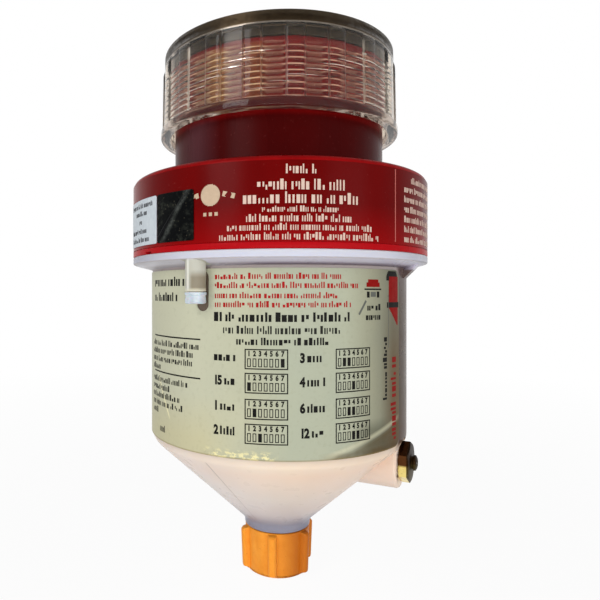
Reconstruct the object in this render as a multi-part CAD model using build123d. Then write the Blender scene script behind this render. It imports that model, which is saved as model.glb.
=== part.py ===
from build123d import *

import os
from math import atan2, cos, degrees, hypot, radians, sin, tan

# Automatic lubricator: a gas-driven grease dispenser with a clear reservoir,
# a red electronic head and a clear screw cap. Millimetres, +Z up.
# Heights are measured from the end face of the outlet, which is the origin.
# Azimuths are measured from the front (-Y) towards +X.

# Fits between pieces
FACE_GAP = 0.3
RUNNING_GAP = 0.08
FILM_GAP = 0.06

# How far a cut runs past a face, and how far fused shapes run into each other
CUT = 1.0
FUSE = 0.1

# Reservoir
BODY_RADIUS = 40.0
BODY_WALL = 2.0
BODY_HEIGHT = 51.3
SHOULDER_ROUND = 5.0
FUNNEL_HEIGHT = 27.4
NECK_RADIUS = 10.4
NECK_HEIGHT = 2.1
NECK_ROUND = 4.0
OUTLET_RADIUS = 6.85
OUTLET_LENGTH = 12.2
OUTLET_BORE = 2.5
COLLAR_WIDTH = 6.0
COLLAR_EDGE = 2.05
COLLAR_DROP = 1.55
GUSSET_REACH = 4.6
GUSSET_DEPTH = 4.4
GUSSET_THICKNESS = 4.0

# Refill fitting, on a boss that points out of the funnel
FITTING_AZIMUTH = 62.5
FITTING_DROP = 4.9
BOSS_RADIUS = 7.65
BOSS_SETBACK = 1.0
SPOT_FACE_RADIUS = 7.0
FITTING_HEX = 10.4
FITTING_HEX_LENGTH = 3.0
FITTING_SHANK_RADIUS = 5.1
FITTING_SHANK_LENGTH = 4.7
FITTING_HEAD_RADIUS = 2.2
FITTING_HEAD_LENGTH = 1.6
FITTING_NECK_RADIUS = 1.9
FITTING_BORE = 1.3
BALL_RADIUS = 1.2
SPRING_WIRE = 0.3
SPRING_TURNS = 4.0
SPRING_LENGTH = 4.2

# Vent tube under the collar, and its cap
VENT_AZIMUTH = -33.9
VENT_RADIUS = 2.7
VENT_BORE = 1.2
VENT_LENGTH = 10.55
VENT_SPIGOT_RADIUS = 1.95
VENT_SPIGOT_LENGTH = 2.2
VENT_CAP_RADIUS = 2.85
VENT_CAP_LENGTH = 3.2

# Reservoir label, a film with a window behind the vent tube
FILM = 0.2
LABEL_START_AZIMUTH = -112.0
LABEL_END_AZIMUTH = 53.0
LABEL_MARGIN_TOP = 0.8
LABEL_MARGIN_BOTTOM = 1.6
LABEL_CORNER = 3.0
LABEL_SLOT_WIDTH = 3.9
LABEL_SLOT_HEIGHT = 10.8
LABEL_SLOT_DROP = 1.2

# Piston and its two rings
PISTON_GAP = 0.45
PISTON_SKIRT = 11.5
PISTON_WALL = 2.2
PISTON_NOSE = 5.5
RING_SECTION = 2.0
RING_SPACING = 5.4
RING_EDGE = 1.8

# Outlet cap
OUTLET_CAP_TOP_RADIUS = 10.3
OUTLET_CAP_BOTTOM_RADIUS = 9.7
OUTLET_CAP_FLOOR = 1.9
OUTLET_CAP_BEVEL = 1.0
OUTLET_CAP_RIB_COUNT = 6
OUTLET_CAP_RIB_RADIUS = 1.25
OUTLET_CAP_RIB_STAND = 0.8
OUTLET_CAP_RIB_END = 1.0
OUTLET_CAP_RIB_AZIMUTH = -13.0

# Bulkhead between the head and the reservoir
BULKHEAD_THICKNESS = 2.4
SPIGOT_DEPTH = 5.0
SPIGOT_WALL = 3.6
SPIGOT_RIB_COUNT = 6
SPIGOT_RIB_THICKNESS = 1.6
SEAL_SECTION = 2.0

# Head housing
HEAD_HEIGHT = 22.85
HEAD_WALL = 2.6
HEAD_FOOT_WALL = 2.8
HEAD_LIP = 1.7
HEAD_RECESS = 0.3
HEAD_ROUND = 1.4
NECK_CHAMFER = 0.5
THREAD_NECK_HEIGHT = 34.55
THREAD_NECK_WALL = 2.6
NOTCH_AZIMUTH = -55.5
NOTCH_WIDTH = 3.4
NOTCH_HEIGHT = 0.7
NOTCH_DEPTH = 1.2
THREAD_DEPTH = 1.5
BOARD_LEDGE_WIDTH = 4.0
BOARD_LEDGE_THICKNESS = 2.4
BOARD_DROP = 16.85

# Head label and stickers
STICKER_HEIGHT = 13.0
STICKER_LIFT = 0.9
SEAL_STICKER_START_AZIMUTH = -49.0
SEAL_STICKER_END_AZIMUTH = -32.0
DATE_STICKER_START_AZIMUTH = -75.0
DATE_STICKER_END_AZIMUTH = -49.5

# Gas cell and batteries
CELL_MARGIN = 0.4
CELL_HEIGHT = 14.0
CELL_OUTLET_RADIUS = 3.0
CELL_CHAMFER = 1.2
BATTERY_RADIUS = 5.25
BATTERY_LENGTH = 44.5
BATTERY_BUTTON_RADIUS = 1.9
BATTERY_BUTTON_LENGTH = 0.9
BATTERY_COUNT = 3
BATTERY_PITCH = 12.4
TRAY_FLOOR = 1.4
TRAY_WALL = 1.6
TRAY_CRADLE = 4.6
CONTACT_THICKNESS = 0.4
CONTACT_WIDTH = 5.0
CONTACT_GAP = 0.5

# Control board
BOARD_THICKNESS = 1.6
BOARD_GAP = 0.5
SCREW_COUNT = 3
SCREW_AZIMUTH = 30.0
SCREW_RADIUS = 1.25
SCREW_HEAD_RADIUS = 2.3
SCREW_HEAD_HEIGHT = 1.7
SCREW_LENGTH = 6.0
SCREW_BOSS_RADIUS = 2.6
SWITCH_COUNT = 7
SWITCH_PITCH = 2.54
SWITCH_BODY_WIDTH = 9.0
SWITCH_BODY_HEIGHT = 4.2
SWITCH_END_MARGIN = 1.1
SWITCH_OFFSET = 6.0
SLIDER_WIDTH = 1.1
SLIDER_LENGTH = 1.3
SLIDER_STAND = 0.7
SLIDER_DEPTH = 1.6
SLIDER_TRAVEL = 1.4
SLIDER_GAP = 0.1
LED_RADIUS = 1.5
LED_HEIGHT = 4.0
LED_SPACING = 9.0
CHIP_LENGTH = 9.0
CHIP_WIDTH = 6.0
CHIP_HEIGHT = 2.0
PARTS_ROW = 10.5

# Clear cap and its seal
CAP_WALL = 2.1
CAP_HEIGHT = 25.9
CAP_ROOF = 3.5
CAP_ROUND = 3.2
CAP_DRAFT = 0.4
CAP_RIM_STAND = 0.95
CAP_RIM_HEIGHT = 2.4
CAP_PAD_COUNT = 20
CAP_PAD_WIDTH = 5.0
CAP_PAD_STAND = 0.55
CAP_PAD_DROP = 4.4
CAP_PAD_AZIMUTH = 2.9
SEAL_WIDTH = 3.4
SEAL_THICKNESS = 2.5

# Radii worked out from the sizes above
BODY_BORE = BODY_RADIUS - BODY_WALL
COLLAR_RADIUS = BODY_RADIUS + COLLAR_WIDTH
HEAD_RADIUS = COLLAR_RADIUS
BULKHEAD_RADIUS = HEAD_RADIUS - HEAD_FOOT_WALL - FACE_GAP
SPIGOT_RADIUS = BODY_BORE - FACE_GAP / 2
BOSS_REACH = BODY_RADIUS - BOSS_SETBACK
VENT_REACH = COLLAR_RADIUS - VENT_RADIUS
CELL_RADIUS = BATTERY_COUNT * BATTERY_PITCH / 2 + CELL_MARGIN
CONTACT_REACH = hypot(BATTERY_LENGTH / 2 + CONTACT_THICKNESS, BATTERY_PITCH)
WELL_RADIUS = CONTACT_REACH + CONTACT_GAP + BOARD_LEDGE_WIDTH
THREAD_NECK_RADIUS = WELL_RADIUS + THREAD_NECK_WALL
CAP_BORE = THREAD_NECK_RADIUS + THREAD_DEPTH
CAP_RADIUS = CAP_BORE + CAP_WALL

# Levels worked out from the sizes above
FUNNEL_BOTTOM = OUTLET_LENGTH + NECK_HEIGHT
SHOULDER = FUNNEL_BOTTOM + FUNNEL_HEIGHT
FITTING_HEIGHT = SHOULDER - FITTING_DROP
COLLAR_FOOT = SHOULDER + BODY_HEIGHT
COLLAR_LOW = COLLAR_FOOT + COLLAR_DROP
COLLAR_TOP = COLLAR_LOW + COLLAR_EDGE
VENT_END = COLLAR_LOW - VENT_LENGTH
SPIGOT_BOTTOM = COLLAR_TOP - SPIGOT_DEPTH
HEAD_TOP = COLLAR_TOP + HEAD_HEIGHT
NECK_TOP = HEAD_TOP + THREAD_NECK_HEIGHT
BOARD_TOP = NECK_TOP - BOARD_DROP
BOARD_BOTTOM = BOARD_TOP - BOARD_THICKNESS
CELL_TOP = COLLAR_TOP + BULKHEAD_THICKNESS + CELL_HEIGHT
TRAY_TOP = CELL_TOP + TRAY_FLOOR
BATTERY_HEIGHT = TRAY_TOP + BATTERY_RADIUS
CONTACT_LOW = TRAY_TOP + BATTERY_RADIUS / 2
SEAL_TOP = NECK_TOP + SEAL_THICKNESS
CAP_TOP = SEAL_TOP + CAP_ROOF
CAP_BOTTOM = CAP_TOP - CAP_HEIGHT

# Lean of the funnel wall from the vertical
FUNNEL_LEAN = atan2(BODY_RADIUS - NECK_RADIUS, FUNNEL_HEIGHT)

# Local frame of the refill fitting: Z points outwards, X points up
FITTING_PLANE = Plane(
    origin=(0, 0, FITTING_HEIGHT),
    x_dir=(0, 0, 1),
    z_dir=(sin(radians(FITTING_AZIMUTH)), -cos(radians(FITTING_AZIMUTH)), 0),
)


def profile(points, rounds=()):
    """Closed outline in the XZ plane; rounds pairs a corner's index with its radius."""
    face = make_face(Polyline(*points, close=True))
    for index, radius in rounds:
        corner = face.vertices().sort_by_distance((*points[index], 0))[0]
        face = fillet(corner, radius)
    return Plane.XZ * face


def turned(points, rounds=(), arc=360.0):
    """Solid of revolution about Z of an outline of (radius, height) points."""
    return revolve(profile(points, rounds), Axis.Z, revolution_arc=arc)


def ring(inner, outer, bottom, top):
    """Plain tube between two radii and two levels."""
    return turned([(inner, bottom), (outer, bottom), (outer, top), (inner, top)])


def rod(radius, bottom, top):
    """Plain cylinder on Z between two levels."""
    return Pos(0, 0, bottom) * Cylinder(radius, top - bottom, align=(Align.CENTER, Align.CENTER, Align.MIN))


def block(width, depth, height):
    """Box centred in X and Y that stands on its base."""
    return Box(width, depth, height, align=(Align.CENTER, Align.CENTER, Align.MIN))


def at_front(azimuth, shape):
    """Turns a shape built on the front (-Y) side round Z to its azimuth."""
    return Rot(0, 0, azimuth) * shape


def film(radius, bottom, top, start, end, corner=0.0):
    """Curved film between two azimuths, with rounded corners."""
    outline = [(radius, bottom), (radius + FILM, bottom), (radius + FILM, top), (radius, top)]
    sheet = Rot(0, 0, start - 90) * turned(outline, arc=end - start)
    if corner > 0:
        corners = [edge for edge in sheet.edges() if edge.length < 2 * FILM]
        sheet = fillet(corners, corner)
    return sheet


def funnel_level(radius, inset=0.0):
    """Level at which the funnel, moved inwards by inset, has a radius."""
    return FUNNEL_BOTTOM + (radius + inset / cos(FUNNEL_LEAN) - NECK_RADIUS) / tan(FUNNEL_LEAN)


def reservoir_shell():
    """Outer form of the reservoir: outlet, neck, funnel, cylinder and collar."""
    outline = [
        (0, 0),
        (OUTLET_RADIUS, 0),
        (OUTLET_RADIUS, OUTLET_LENGTH),
        (NECK_RADIUS, OUTLET_LENGTH),
        (NECK_RADIUS, FUNNEL_BOTTOM),
        (BODY_RADIUS, SHOULDER),
        (BODY_RADIUS, COLLAR_FOOT),
        (COLLAR_RADIUS, COLLAR_LOW),
        (COLLAR_RADIUS, COLLAR_TOP),
        (0, COLLAR_TOP),
    ]
    return turned(outline, rounds=[(4, NECK_ROUND), (5, SHOULDER_ROUND)])


def reservoir_cavity():
    """Space inside the reservoir: bore, funnel and outlet passage."""
    outline = [
        (0, -CUT),
        (OUTLET_BORE, -CUT),
        (OUTLET_BORE, funnel_level(OUTLET_BORE, BODY_WALL)),
        (BODY_BORE, funnel_level(BODY_BORE, BODY_WALL)),
        (BODY_BORE, COLLAR_TOP + CUT),
        (0, COLLAR_TOP + CUT),
    ]
    return turned(outline, rounds=[(3, SHOULDER_ROUND - BODY_WALL)])


def gusset():
    """Triangular web between the collar and the wall, on the front side."""
    root = BODY_RADIUS - BODY_WALL / 2
    tip = BODY_RADIUS + GUSSET_REACH
    top = COLLAR_LOW + COLLAR_EDGE / 2
    foot = COLLAR_FOOT - GUSSET_DEPTH + COLLAR_DROP
    outline = [(-root, top), (-tip, top), (-tip, COLLAR_LOW), (-BODY_RADIUS, foot), (-root, foot)]
    web = Plane.YZ * make_face(Polyline(*outline, close=True))
    return extrude(web, GUSSET_THICKNESS / 2, both=True)


def vent_tube():
    """Hollow tube that hangs from the collar, stepped at its end for the vent cap."""
    step = VENT_END + VENT_SPIGOT_LENGTH
    tube = rod(VENT_SPIGOT_RADIUS, VENT_END, step) + rod(VENT_RADIUS, step, COLLAR_TOP - COLLAR_EDGE / 2)
    return Pos(0, -VENT_REACH, 0) * tube


def reservoir_body():
    """Clear moulding: cylinder, funnel, outlet, collar, boss, webs and vent tube."""
    boss = FITTING_PLANE * rod(BOSS_RADIUS, BODY_RADIUS / 2, BOSS_REACH)
    body = reservoir_shell() + boss
    for azimuth in (FITTING_AZIMUTH, FITTING_AZIMUTH + 180):
        body += at_front(azimuth, gusset())
    body += at_front(VENT_AZIMUTH, vent_tube())
    body -= reservoir_cavity()
    shank_end = BOSS_REACH - FITTING_SHANK_LENGTH - FACE_GAP
    body -= FITTING_PLANE * rod(FITTING_SHANK_RADIUS + RUNNING_GAP, shank_end, BOSS_REACH + CUT)
    body -= FITTING_PLANE * rod(FITTING_BORE, BODY_RADIUS / 2, BOSS_REACH)
    body -= FITTING_PLANE * rod(SPOT_FACE_RADIUS, BOSS_REACH, COLLAR_RADIUS)
    body -= at_front(VENT_AZIMUTH, Pos(0, -VENT_REACH, 0) * rod(VENT_BORE, VENT_END - CUT, COLLAR_TOP + CUT))
    return body


def reservoir_label():
    """Printed film on the cylinder, with a slot behind the vent tube."""
    bottom = SHOULDER + LABEL_MARGIN_BOTTOM
    top = COLLAR_FOOT - LABEL_MARGIN_TOP
    label = film(BODY_RADIUS + FILM_GAP, bottom, top, LABEL_START_AZIMUTH, LABEL_END_AZIMUTH, LABEL_CORNER)
    slot_middle = COLLAR_FOOT - LABEL_SLOT_DROP - LABEL_SLOT_HEIGHT / 2
    outline = Pos(0, slot_middle) * Rot(0, 0, 90) * SlotOverall(LABEL_SLOT_HEIGHT, LABEL_SLOT_WIDTH)
    window = Pos(0, -BODY_RADIUS, 0) * extrude(Plane.XZ * outline, BODY_WALL, both=True)
    return label - at_front(VENT_AZIMUTH, window)


def vent_cap():
    """Soft cup pushed over the end of the vent tube."""
    bottom = VENT_END + VENT_SPIGOT_LENGTH - VENT_CAP_LENGTH
    top = VENT_END + VENT_SPIGOT_LENGTH - FACE_GAP / 2
    bevel = (VENT_CAP_RADIUS - VENT_SPIGOT_RADIUS) / 2
    cup = turned([
        (0, bottom),
        (VENT_CAP_RADIUS - bevel, bottom),
        (VENT_CAP_RADIUS, bottom + bevel),
        (VENT_CAP_RADIUS, top),
        (0, top),
    ])
    cup -= rod(VENT_SPIGOT_RADIUS + RUNNING_GAP, VENT_END - FACE_GAP, top + VENT_CAP_LENGTH)
    return at_front(VENT_AZIMUTH, Pos(0, -VENT_REACH, 0) * cup)


def piston_levels():
    """Foot of the skirt, top of the skirt and middles of the two ring grooves."""
    foot = FITTING_HEIGHT + FITTING_SHANK_RADIUS + PISTON_GAP
    top = foot + PISTON_SKIRT
    upper = top - RING_EDGE - RING_SECTION / 2
    return foot, top, upper, upper - RING_SPACING


def piston():
    """Moulded cup: a skirt with two ring grooves over a cone that nests in the funnel."""
    foot, top, upper, lower = piston_levels()
    skirt = BODY_BORE - PISTON_GAP
    inset = BODY_WALL + PISTON_GAP
    groove = BODY_BORE - RUNNING_GAP - RING_SECTION
    relief = BOSS_REACH - FITTING_SHANK_LENGTH - 2 * PISTON_GAP
    inner = skirt - 2 * PISTON_WALL
    floor = funnel_level(PISTON_NOSE, inset)
    cup = turned([
        (0, floor),
        (PISTON_NOSE, floor),
        (relief, funnel_level(relief, inset)),
        (relief, foot),
        (skirt - PISTON_GAP, foot),
        (skirt, foot + PISTON_WALL / 2),
        (skirt, top),
        (inner, top),
        (inner, funnel_level(inner, inset + PISTON_WALL)),
        (PISTON_NOSE, funnel_level(PISTON_NOSE, inset + PISTON_WALL)),
        (0, funnel_level(PISTON_NOSE, inset + PISTON_WALL)),
    ])
    half = RING_SECTION / 2 + FACE_GAP / 2
    for level in (upper, lower):
        cup -= ring(groove - RUNNING_GAP, BODY_RADIUS, level - half, level + half)
    return cup


def piston_ring(level):
    """Rubber ring that wipes the bore."""
    outer = BODY_BORE - RUNNING_GAP
    inner = outer - RING_SECTION
    low = level - RING_SECTION / 2
    high = level + RING_SECTION / 2
    bevel = RING_SECTION / 3.4
    outline = [
        (inner + bevel, low),
        (outer - bevel, low),
        (outer, low + bevel),
        (outer, high - bevel),
        (outer - bevel, high),
        (inner + bevel, high),
        (inner, high - bevel),
        (inner, low + bevel),
    ]
    return turned(outline)


def outlet_cap():
    """Ribbed cap screwed on the outlet thread."""
    bottom = -FACE_GAP - OUTLET_CAP_FLOOR
    top = OUTLET_LENGTH - FACE_GAP
    height = top - bottom
    low, high, bevel = OUTLET_CAP_BOTTOM_RADIUS, OUTLET_CAP_TOP_RADIUS, OUTLET_CAP_BEVEL
    cap = turned([(0, bottom), (low - bevel, bottom), (low, bottom + bevel), (high, top), (0, top)])
    tip = OUTLET_CAP_RIB_STAND + OUTLET_CAP_RIB_RADIUS
    envelope = turned([
        (0, bottom),
        (low - bevel, bottom),
        (low, bottom + OUTLET_CAP_RIB_END),
        (low + tip, bottom + OUTLET_CAP_RIB_END + bevel / 2),
        (high + tip, top - bevel),
        (high, top - FACE_GAP),
        (0, top - FACE_GAP),
    ])
    rib = rod(OUTLET_CAP_RIB_RADIUS, -bevel, height + bevel)
    rib += Pos(0, low / 4, -bevel) * block(2 * OUTLET_CAP_RIB_RADIUS, low / 2, height + 2 * bevel)
    lean = degrees(atan2(high - low, height))
    rib = Pos(0, -low - OUTLET_CAP_RIB_STAND, bottom) * Rot(lean, 0, 0) * rib
    for index in range(OUTLET_CAP_RIB_COUNT):
        azimuth = OUTLET_CAP_RIB_AZIMUTH + index * 360 / OUTLET_CAP_RIB_COUNT
        cap += at_front(azimuth, rib) & envelope
    return cap - rod(OUTLET_RADIUS + FACE_GAP, -FACE_GAP, top + bevel)


def fitting_levels():
    """Distances from the axis of the fitting's hex face, tip, ball and spring foot."""
    hex_end = BOSS_REACH + FITTING_HEX_LENGTH
    tip = hex_end + FITTING_HEAD_LENGTH
    ball = tip - BALL_RADIUS - RUNNING_GAP
    spring_foot = ball - BALL_RADIUS - SPRING_LENGTH
    return hex_end, tip, ball, spring_foot


def grease_fitting():
    """Brass fitting: threaded shank, hexagon, neck and button head with a ball seat."""
    hex_end, tip, ball, spring_foot = fitting_levels()
    shank = rod(FITTING_SHANK_RADIUS, BOSS_REACH - FITTING_SHANK_LENGTH, BOSS_REACH + FITTING_HEX_LENGTH / 2)
    outline = Rot(0, 0, 30) * RegularPolygon(FITTING_HEX / 2, 6, major_radius=False)
    hexagon = Pos(0, 0, BOSS_REACH) * extrude(outline, FITTING_HEX_LENGTH)
    crown = FITTING_HEX / 2 * 1.02
    bevel = FITTING_HEX / 10
    hexagon &= turned([
        (0, BOSS_REACH),
        (crown, BOSS_REACH),
        (crown + bevel, BOSS_REACH + bevel / 2),
        (crown + bevel, hex_end - bevel / 2),
        (crown, hex_end),
        (0, hex_end),
    ])
    neck = rod(FITTING_NECK_RADIUS, hex_end - FUSE, tip - FITTING_HEAD_LENGTH / 2)
    head = turned([
        (0, tip - FITTING_HEAD_LENGTH * 0.6),
        (FITTING_HEAD_RADIUS, tip - FITTING_HEAD_LENGTH * 0.6),
        (FITTING_HEAD_RADIUS, tip - FITTING_HEAD_LENGTH * 0.2),
        (FITTING_HEAD_RADIUS - FITTING_HEAD_LENGTH * 0.2, tip),
        (0, tip),
    ])
    fitting = shank + hexagon + neck + head
    fitting -= rod(FITTING_BORE, spring_foot, ball)
    fitting -= rod(BALL_RADIUS * 0.7, spring_foot - FITTING_SHANK_LENGTH, tip + BALL_RADIUS)
    fitting -= Pos(0, 0, ball) * Sphere(BALL_RADIUS + RUNNING_GAP)
    return FITTING_PLANE * fitting


def check_ball():
    """Steel ball that closes the fitting's mouth."""
    return FITTING_PLANE * Pos(0, 0, fitting_levels()[2]) * Sphere(BALL_RADIUS)


def check_spring():
    """Coil spring that holds the ball on its seat."""
    coil = BALL_RADIUS * 0.7
    pitch = (SPRING_LENGTH - SPRING_WIRE) / SPRING_TURNS
    path = Helix(pitch, SPRING_LENGTH - SPRING_WIRE, coil)
    start = Plane(origin=path @ 0, z_dir=path % 0)
    wire = sweep(start * RegularPolygon(SPRING_WIRE / 2, 6), path, is_frenet=True)
    return FITTING_PLANE * Pos(0, 0, fitting_levels()[3] + SPRING_WIRE / 2) * wire


def bulkhead():
    """Plate that closes the reservoir, with a grooved spigot in its bore."""
    top = COLLAR_TOP + BULKHEAD_THICKNESS
    plate = turned([
        (0, COLLAR_TOP),
        (BULKHEAD_RADIUS, COLLAR_TOP),
        (BULKHEAD_RADIUS, top),
        (0, top),
    ])
    plate += ring(SPIGOT_RADIUS - SPIGOT_WALL, SPIGOT_RADIUS, SPIGOT_BOTTOM, COLLAR_TOP + FUSE)
    groove_low = SPIGOT_BOTTOM + (SPIGOT_DEPTH - SEAL_SECTION) / 2 - FACE_GAP / 2
    groove_high = groove_low + SEAL_SECTION + FACE_GAP
    groove = BODY_BORE - RUNNING_GAP - SEAL_SECTION
    plate -= ring(groove - RUNNING_GAP, BODY_RADIUS, groove_low, groove_high)
    root = SPIGOT_RADIUS - SPIGOT_WALL + FUSE
    length = root - CELL_OUTLET_RADIUS - SPIGOT_RIB_THICKNESS
    rib = block(SPIGOT_RIB_THICKNESS, length, SPIGOT_DEPTH / 2)
    rib = Pos(0, length / 2 - root, COLLAR_TOP - SPIGOT_DEPTH / 2) * rib
    for index in range(SPIGOT_RIB_COUNT):
        plate += at_front(index * 360 / SPIGOT_RIB_COUNT, rib)
    return plate - rod(CELL_OUTLET_RADIUS + RUNNING_GAP, SPIGOT_BOTTOM, top + CUT)


def bulkhead_seal():
    """Rubber ring in the spigot's groove."""
    return piston_ring(SPIGOT_BOTTOM + SPIGOT_DEPTH / 2)


def head_housing():
    """Red moulding: skirt, label recess, threaded neck, board ledge and screw bosses."""
    skirt = HEAD_RADIUS - HEAD_RECESS
    room = skirt - HEAD_FOOT_WALL - FACE_GAP - HEAD_RECESS
    lip_top = COLLAR_TOP + HEAD_LIP
    pocket = BULKHEAD_RADIUS + FACE_GAP
    plate_top = COLLAR_TOP + BULKHEAD_THICKNESS
    ledge_low = BOARD_BOTTOM - BOARD_LEDGE_THICKNESS
    ledge = WELL_RADIUS - BOARD_LEDGE_WIDTH
    outline = [
        (pocket, COLLAR_TOP),
        (HEAD_RADIUS, COLLAR_TOP),
        (HEAD_RADIUS, lip_top),
        (skirt, lip_top),
        (skirt, HEAD_TOP),
        (THREAD_NECK_RADIUS, HEAD_TOP),
        (THREAD_NECK_RADIUS, NECK_TOP - NECK_CHAMFER),
        (THREAD_NECK_RADIUS - NECK_CHAMFER, NECK_TOP),
        (WELL_RADIUS, NECK_TOP),
        (WELL_RADIUS, BOARD_BOTTOM),
        (ledge, BOARD_BOTTOM),
        (ledge, ledge_low),
        (WELL_RADIUS, ledge_low - BOARD_LEDGE_WIDTH),
        (WELL_RADIUS, HEAD_TOP - HEAD_WALL),
        (room, HEAD_TOP - HEAD_WALL),
        (room, plate_top),
        (pocket, plate_top),
    ]
    housing = turned(outline, rounds=[(4, HEAD_ROUND)])
    post = rod(SCREW_BOSS_RADIUS, ledge_low - BOARD_LEDGE_WIDTH, BOARD_BOTTOM)
    post = Pos(0, -(WELL_RADIUS - SCREW_BOSS_RADIUS - BOARD_GAP), 0) * post
    hole = Pos(0, -(WELL_RADIUS - SCREW_BOSS_RADIUS - BOARD_GAP), 0) * rod(
        SCREW_RADIUS + RUNNING_GAP, BOARD_BOTTOM - SCREW_LENGTH, BOARD_BOTTOM + CUT
    )
    for index in range(SCREW_COUNT):
        azimuth = SCREW_AZIMUTH + index * 360 / SCREW_COUNT
        housing += at_front(azimuth, post)
        housing -= at_front(azimuth, hole)
    notch = Pos(0, -HEAD_RADIUS, COLLAR_TOP) * block(NOTCH_WIDTH, 2 * NOTCH_DEPTH, NOTCH_HEIGHT)
    return housing - at_front(NOTCH_AZIMUTH, notch)


def head_label():
    """Printed film in the recess round the head."""
    bottom = COLLAR_TOP + HEAD_LIP + FILM_GAP
    top = HEAD_TOP - HEAD_ROUND - FILM_GAP
    radius = HEAD_RADIUS - HEAD_RECESS + FILM_GAP
    return ring(radius, radius + FILM, bottom, top)


def head_sticker(start, end):
    """Sticker on the head label."""
    bottom = COLLAR_TOP + HEAD_LIP + STICKER_LIFT
    radius = HEAD_RADIUS - HEAD_RECESS + 2 * FILM_GAP + FILM
    return film(radius, bottom, bottom + STICKER_HEIGHT, start, end, 0.8)


def gas_cell():
    """Sealed gas-generating cell with its outlet through the bulkhead."""
    foot = COLLAR_TOP + BULKHEAD_THICKNESS
    outline = [
        (0, COLLAR_TOP - FACE_GAP),
        (CELL_OUTLET_RADIUS, COLLAR_TOP - FACE_GAP),
        (CELL_OUTLET_RADIUS, foot),
        (CELL_RADIUS, foot),
        (CELL_RADIUS, CELL_TOP - CELL_CHAMFER),
        (CELL_RADIUS - CELL_CHAMFER, CELL_TOP),
        (0, CELL_TOP),
    ]
    return turned(outline)


def battery_row():
    """Sideways places of the batteries, centred on the axis."""
    middle = (BATTERY_COUNT - 1) / 2
    return [(index - middle) * BATTERY_PITCH for index in range(BATTERY_COUNT)]


def contact_places():
    """Centre and width of each spring plate, and whether it is a tail to the board."""
    rows = battery_row()
    end = BATTERY_LENGTH / 2 + CONTACT_THICKNESS / 2
    places = []
    for side in (-1, 1):
        tail = side * (rows[-1] - CONTACT_WIDTH / 2)
        places.append((side * end, tail, CONTACT_WIDTH, True))
        bridge = -side * (rows[1] + rows[-1]) / 2
        places.append((side * end, bridge, BATTERY_PITCH + CONTACT_WIDTH / 2, False))
    return places


def battery_tray():
    """Cradle for the batteries, on top of the gas cell and clear of the well's wall."""
    reach = BATTERY_LENGTH / 2 + CONTACT_THICKNESS + TRAY_WALL
    width = BATTERY_COUNT * BATTERY_PITCH + TRAY_FLOOR
    tray = Pos(0, 0, CELL_TOP) * block(2 * reach, width, TRAY_FLOOR + TRAY_CRADLE)
    for place in battery_row():
        trough = Cylinder(BATTERY_RADIUS + RUNNING_GAP, BATTERY_LENGTH + 2 * RUNNING_GAP)
        tray -= Pos(0, place, BATTERY_HEIGHT) * Rot(0, 90, 0) * trough
    for end, place, span, _ in contact_places():
        slot = block(CONTACT_THICKNESS + 2 * RUNNING_GAP, span + FACE_GAP, TRAY_CRADLE)
        tray -= Pos(end, place, CONTACT_LOW - FACE_GAP / 2) * slot
    return tray & rod(WELL_RADIUS - FACE_GAP, CELL_TOP, BOARD_BOTTOM)


def battery(index):
    """Cell laid in the tray; neighbours point opposite ways."""
    can = Pos(0, 0, 0) * Cylinder(BATTERY_RADIUS, BATTERY_LENGTH - BATTERY_BUTTON_LENGTH)
    button = Cylinder(BATTERY_BUTTON_RADIUS, BATTERY_BUTTON_LENGTH)
    middle = (BATTERY_LENGTH - BATTERY_BUTTON_LENGTH) / 2
    cell = Pos(0, 0, -BATTERY_BUTTON_LENGTH / 2) * can + Pos(0, 0, middle) * button
    turn = 90 if index % 2 == 0 else -90
    return Pos(0, battery_row()[index], BATTERY_HEIGHT) * Rot(0, turn, 0) * cell


def battery_contacts():
    """Spring plates at the cells' ends: two bridges and two tails that reach the board."""
    plates = []
    for end, place, span, tail in contact_places():
        height = BOARD_BOTTOM - CONTACT_LOW if tail else BATTERY_RADIUS * 1.2
        plates.append(Pos(end, place, CONTACT_LOW) * block(CONTACT_THICKNESS, span, height))
    return plates


def board_screw_places():
    """Places of the board's screws on their bosses."""
    reach = WELL_RADIUS - SCREW_BOSS_RADIUS - BOARD_GAP
    return [
        Rot(0, 0, SCREW_AZIMUTH + index * 360 / SCREW_COUNT) * Pos(0, -reach, BOARD_TOP)
        for index in range(SCREW_COUNT)
    ]


def circuit_board():
    """Round board on the ledge inside the neck."""
    board = rod(WELL_RADIUS - BOARD_GAP, BOARD_BOTTOM, BOARD_TOP)
    hole = rod(SCREW_RADIUS + RUNNING_GAP, -BOARD_THICKNESS - CUT, CUT)
    for place in board_screw_places():
        board -= place * hole
    return board


def board_screws():
    """Pan-head screws that hold the board."""
    slot = Pos(0, 0, SCREW_HEAD_HEIGHT * 0.55) * block(2 * SCREW_HEAD_RADIUS, 0.5, SCREW_HEAD_HEIGHT)
    cross = slot + Rot(0, 0, 90) * slot
    cross &= rod(SCREW_HEAD_RADIUS * 0.6, 0, SCREW_HEAD_HEIGHT + CUT)
    depth = BOARD_THICKNESS + SCREW_LENGTH - FACE_GAP
    head = turned([
        (0, -depth),
        (SCREW_RADIUS, -depth),
        (SCREW_RADIUS, 0),
        (SCREW_HEAD_RADIUS, 0),
        (SCREW_HEAD_RADIUS, SCREW_HEAD_HEIGHT * 0.5),
        (SCREW_HEAD_RADIUS * 0.6, SCREW_HEAD_HEIGHT),
        (0, SCREW_HEAD_HEIGHT),
    ])
    return [place * (head - cross) for place in board_screw_places()]


def switch_row():
    """Sideways places of the switch levers, centred on the axis."""
    middle = (SWITCH_COUNT - 1) / 2
    return [(index - middle) * SWITCH_PITCH for index in range(SWITCH_COUNT)]


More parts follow.
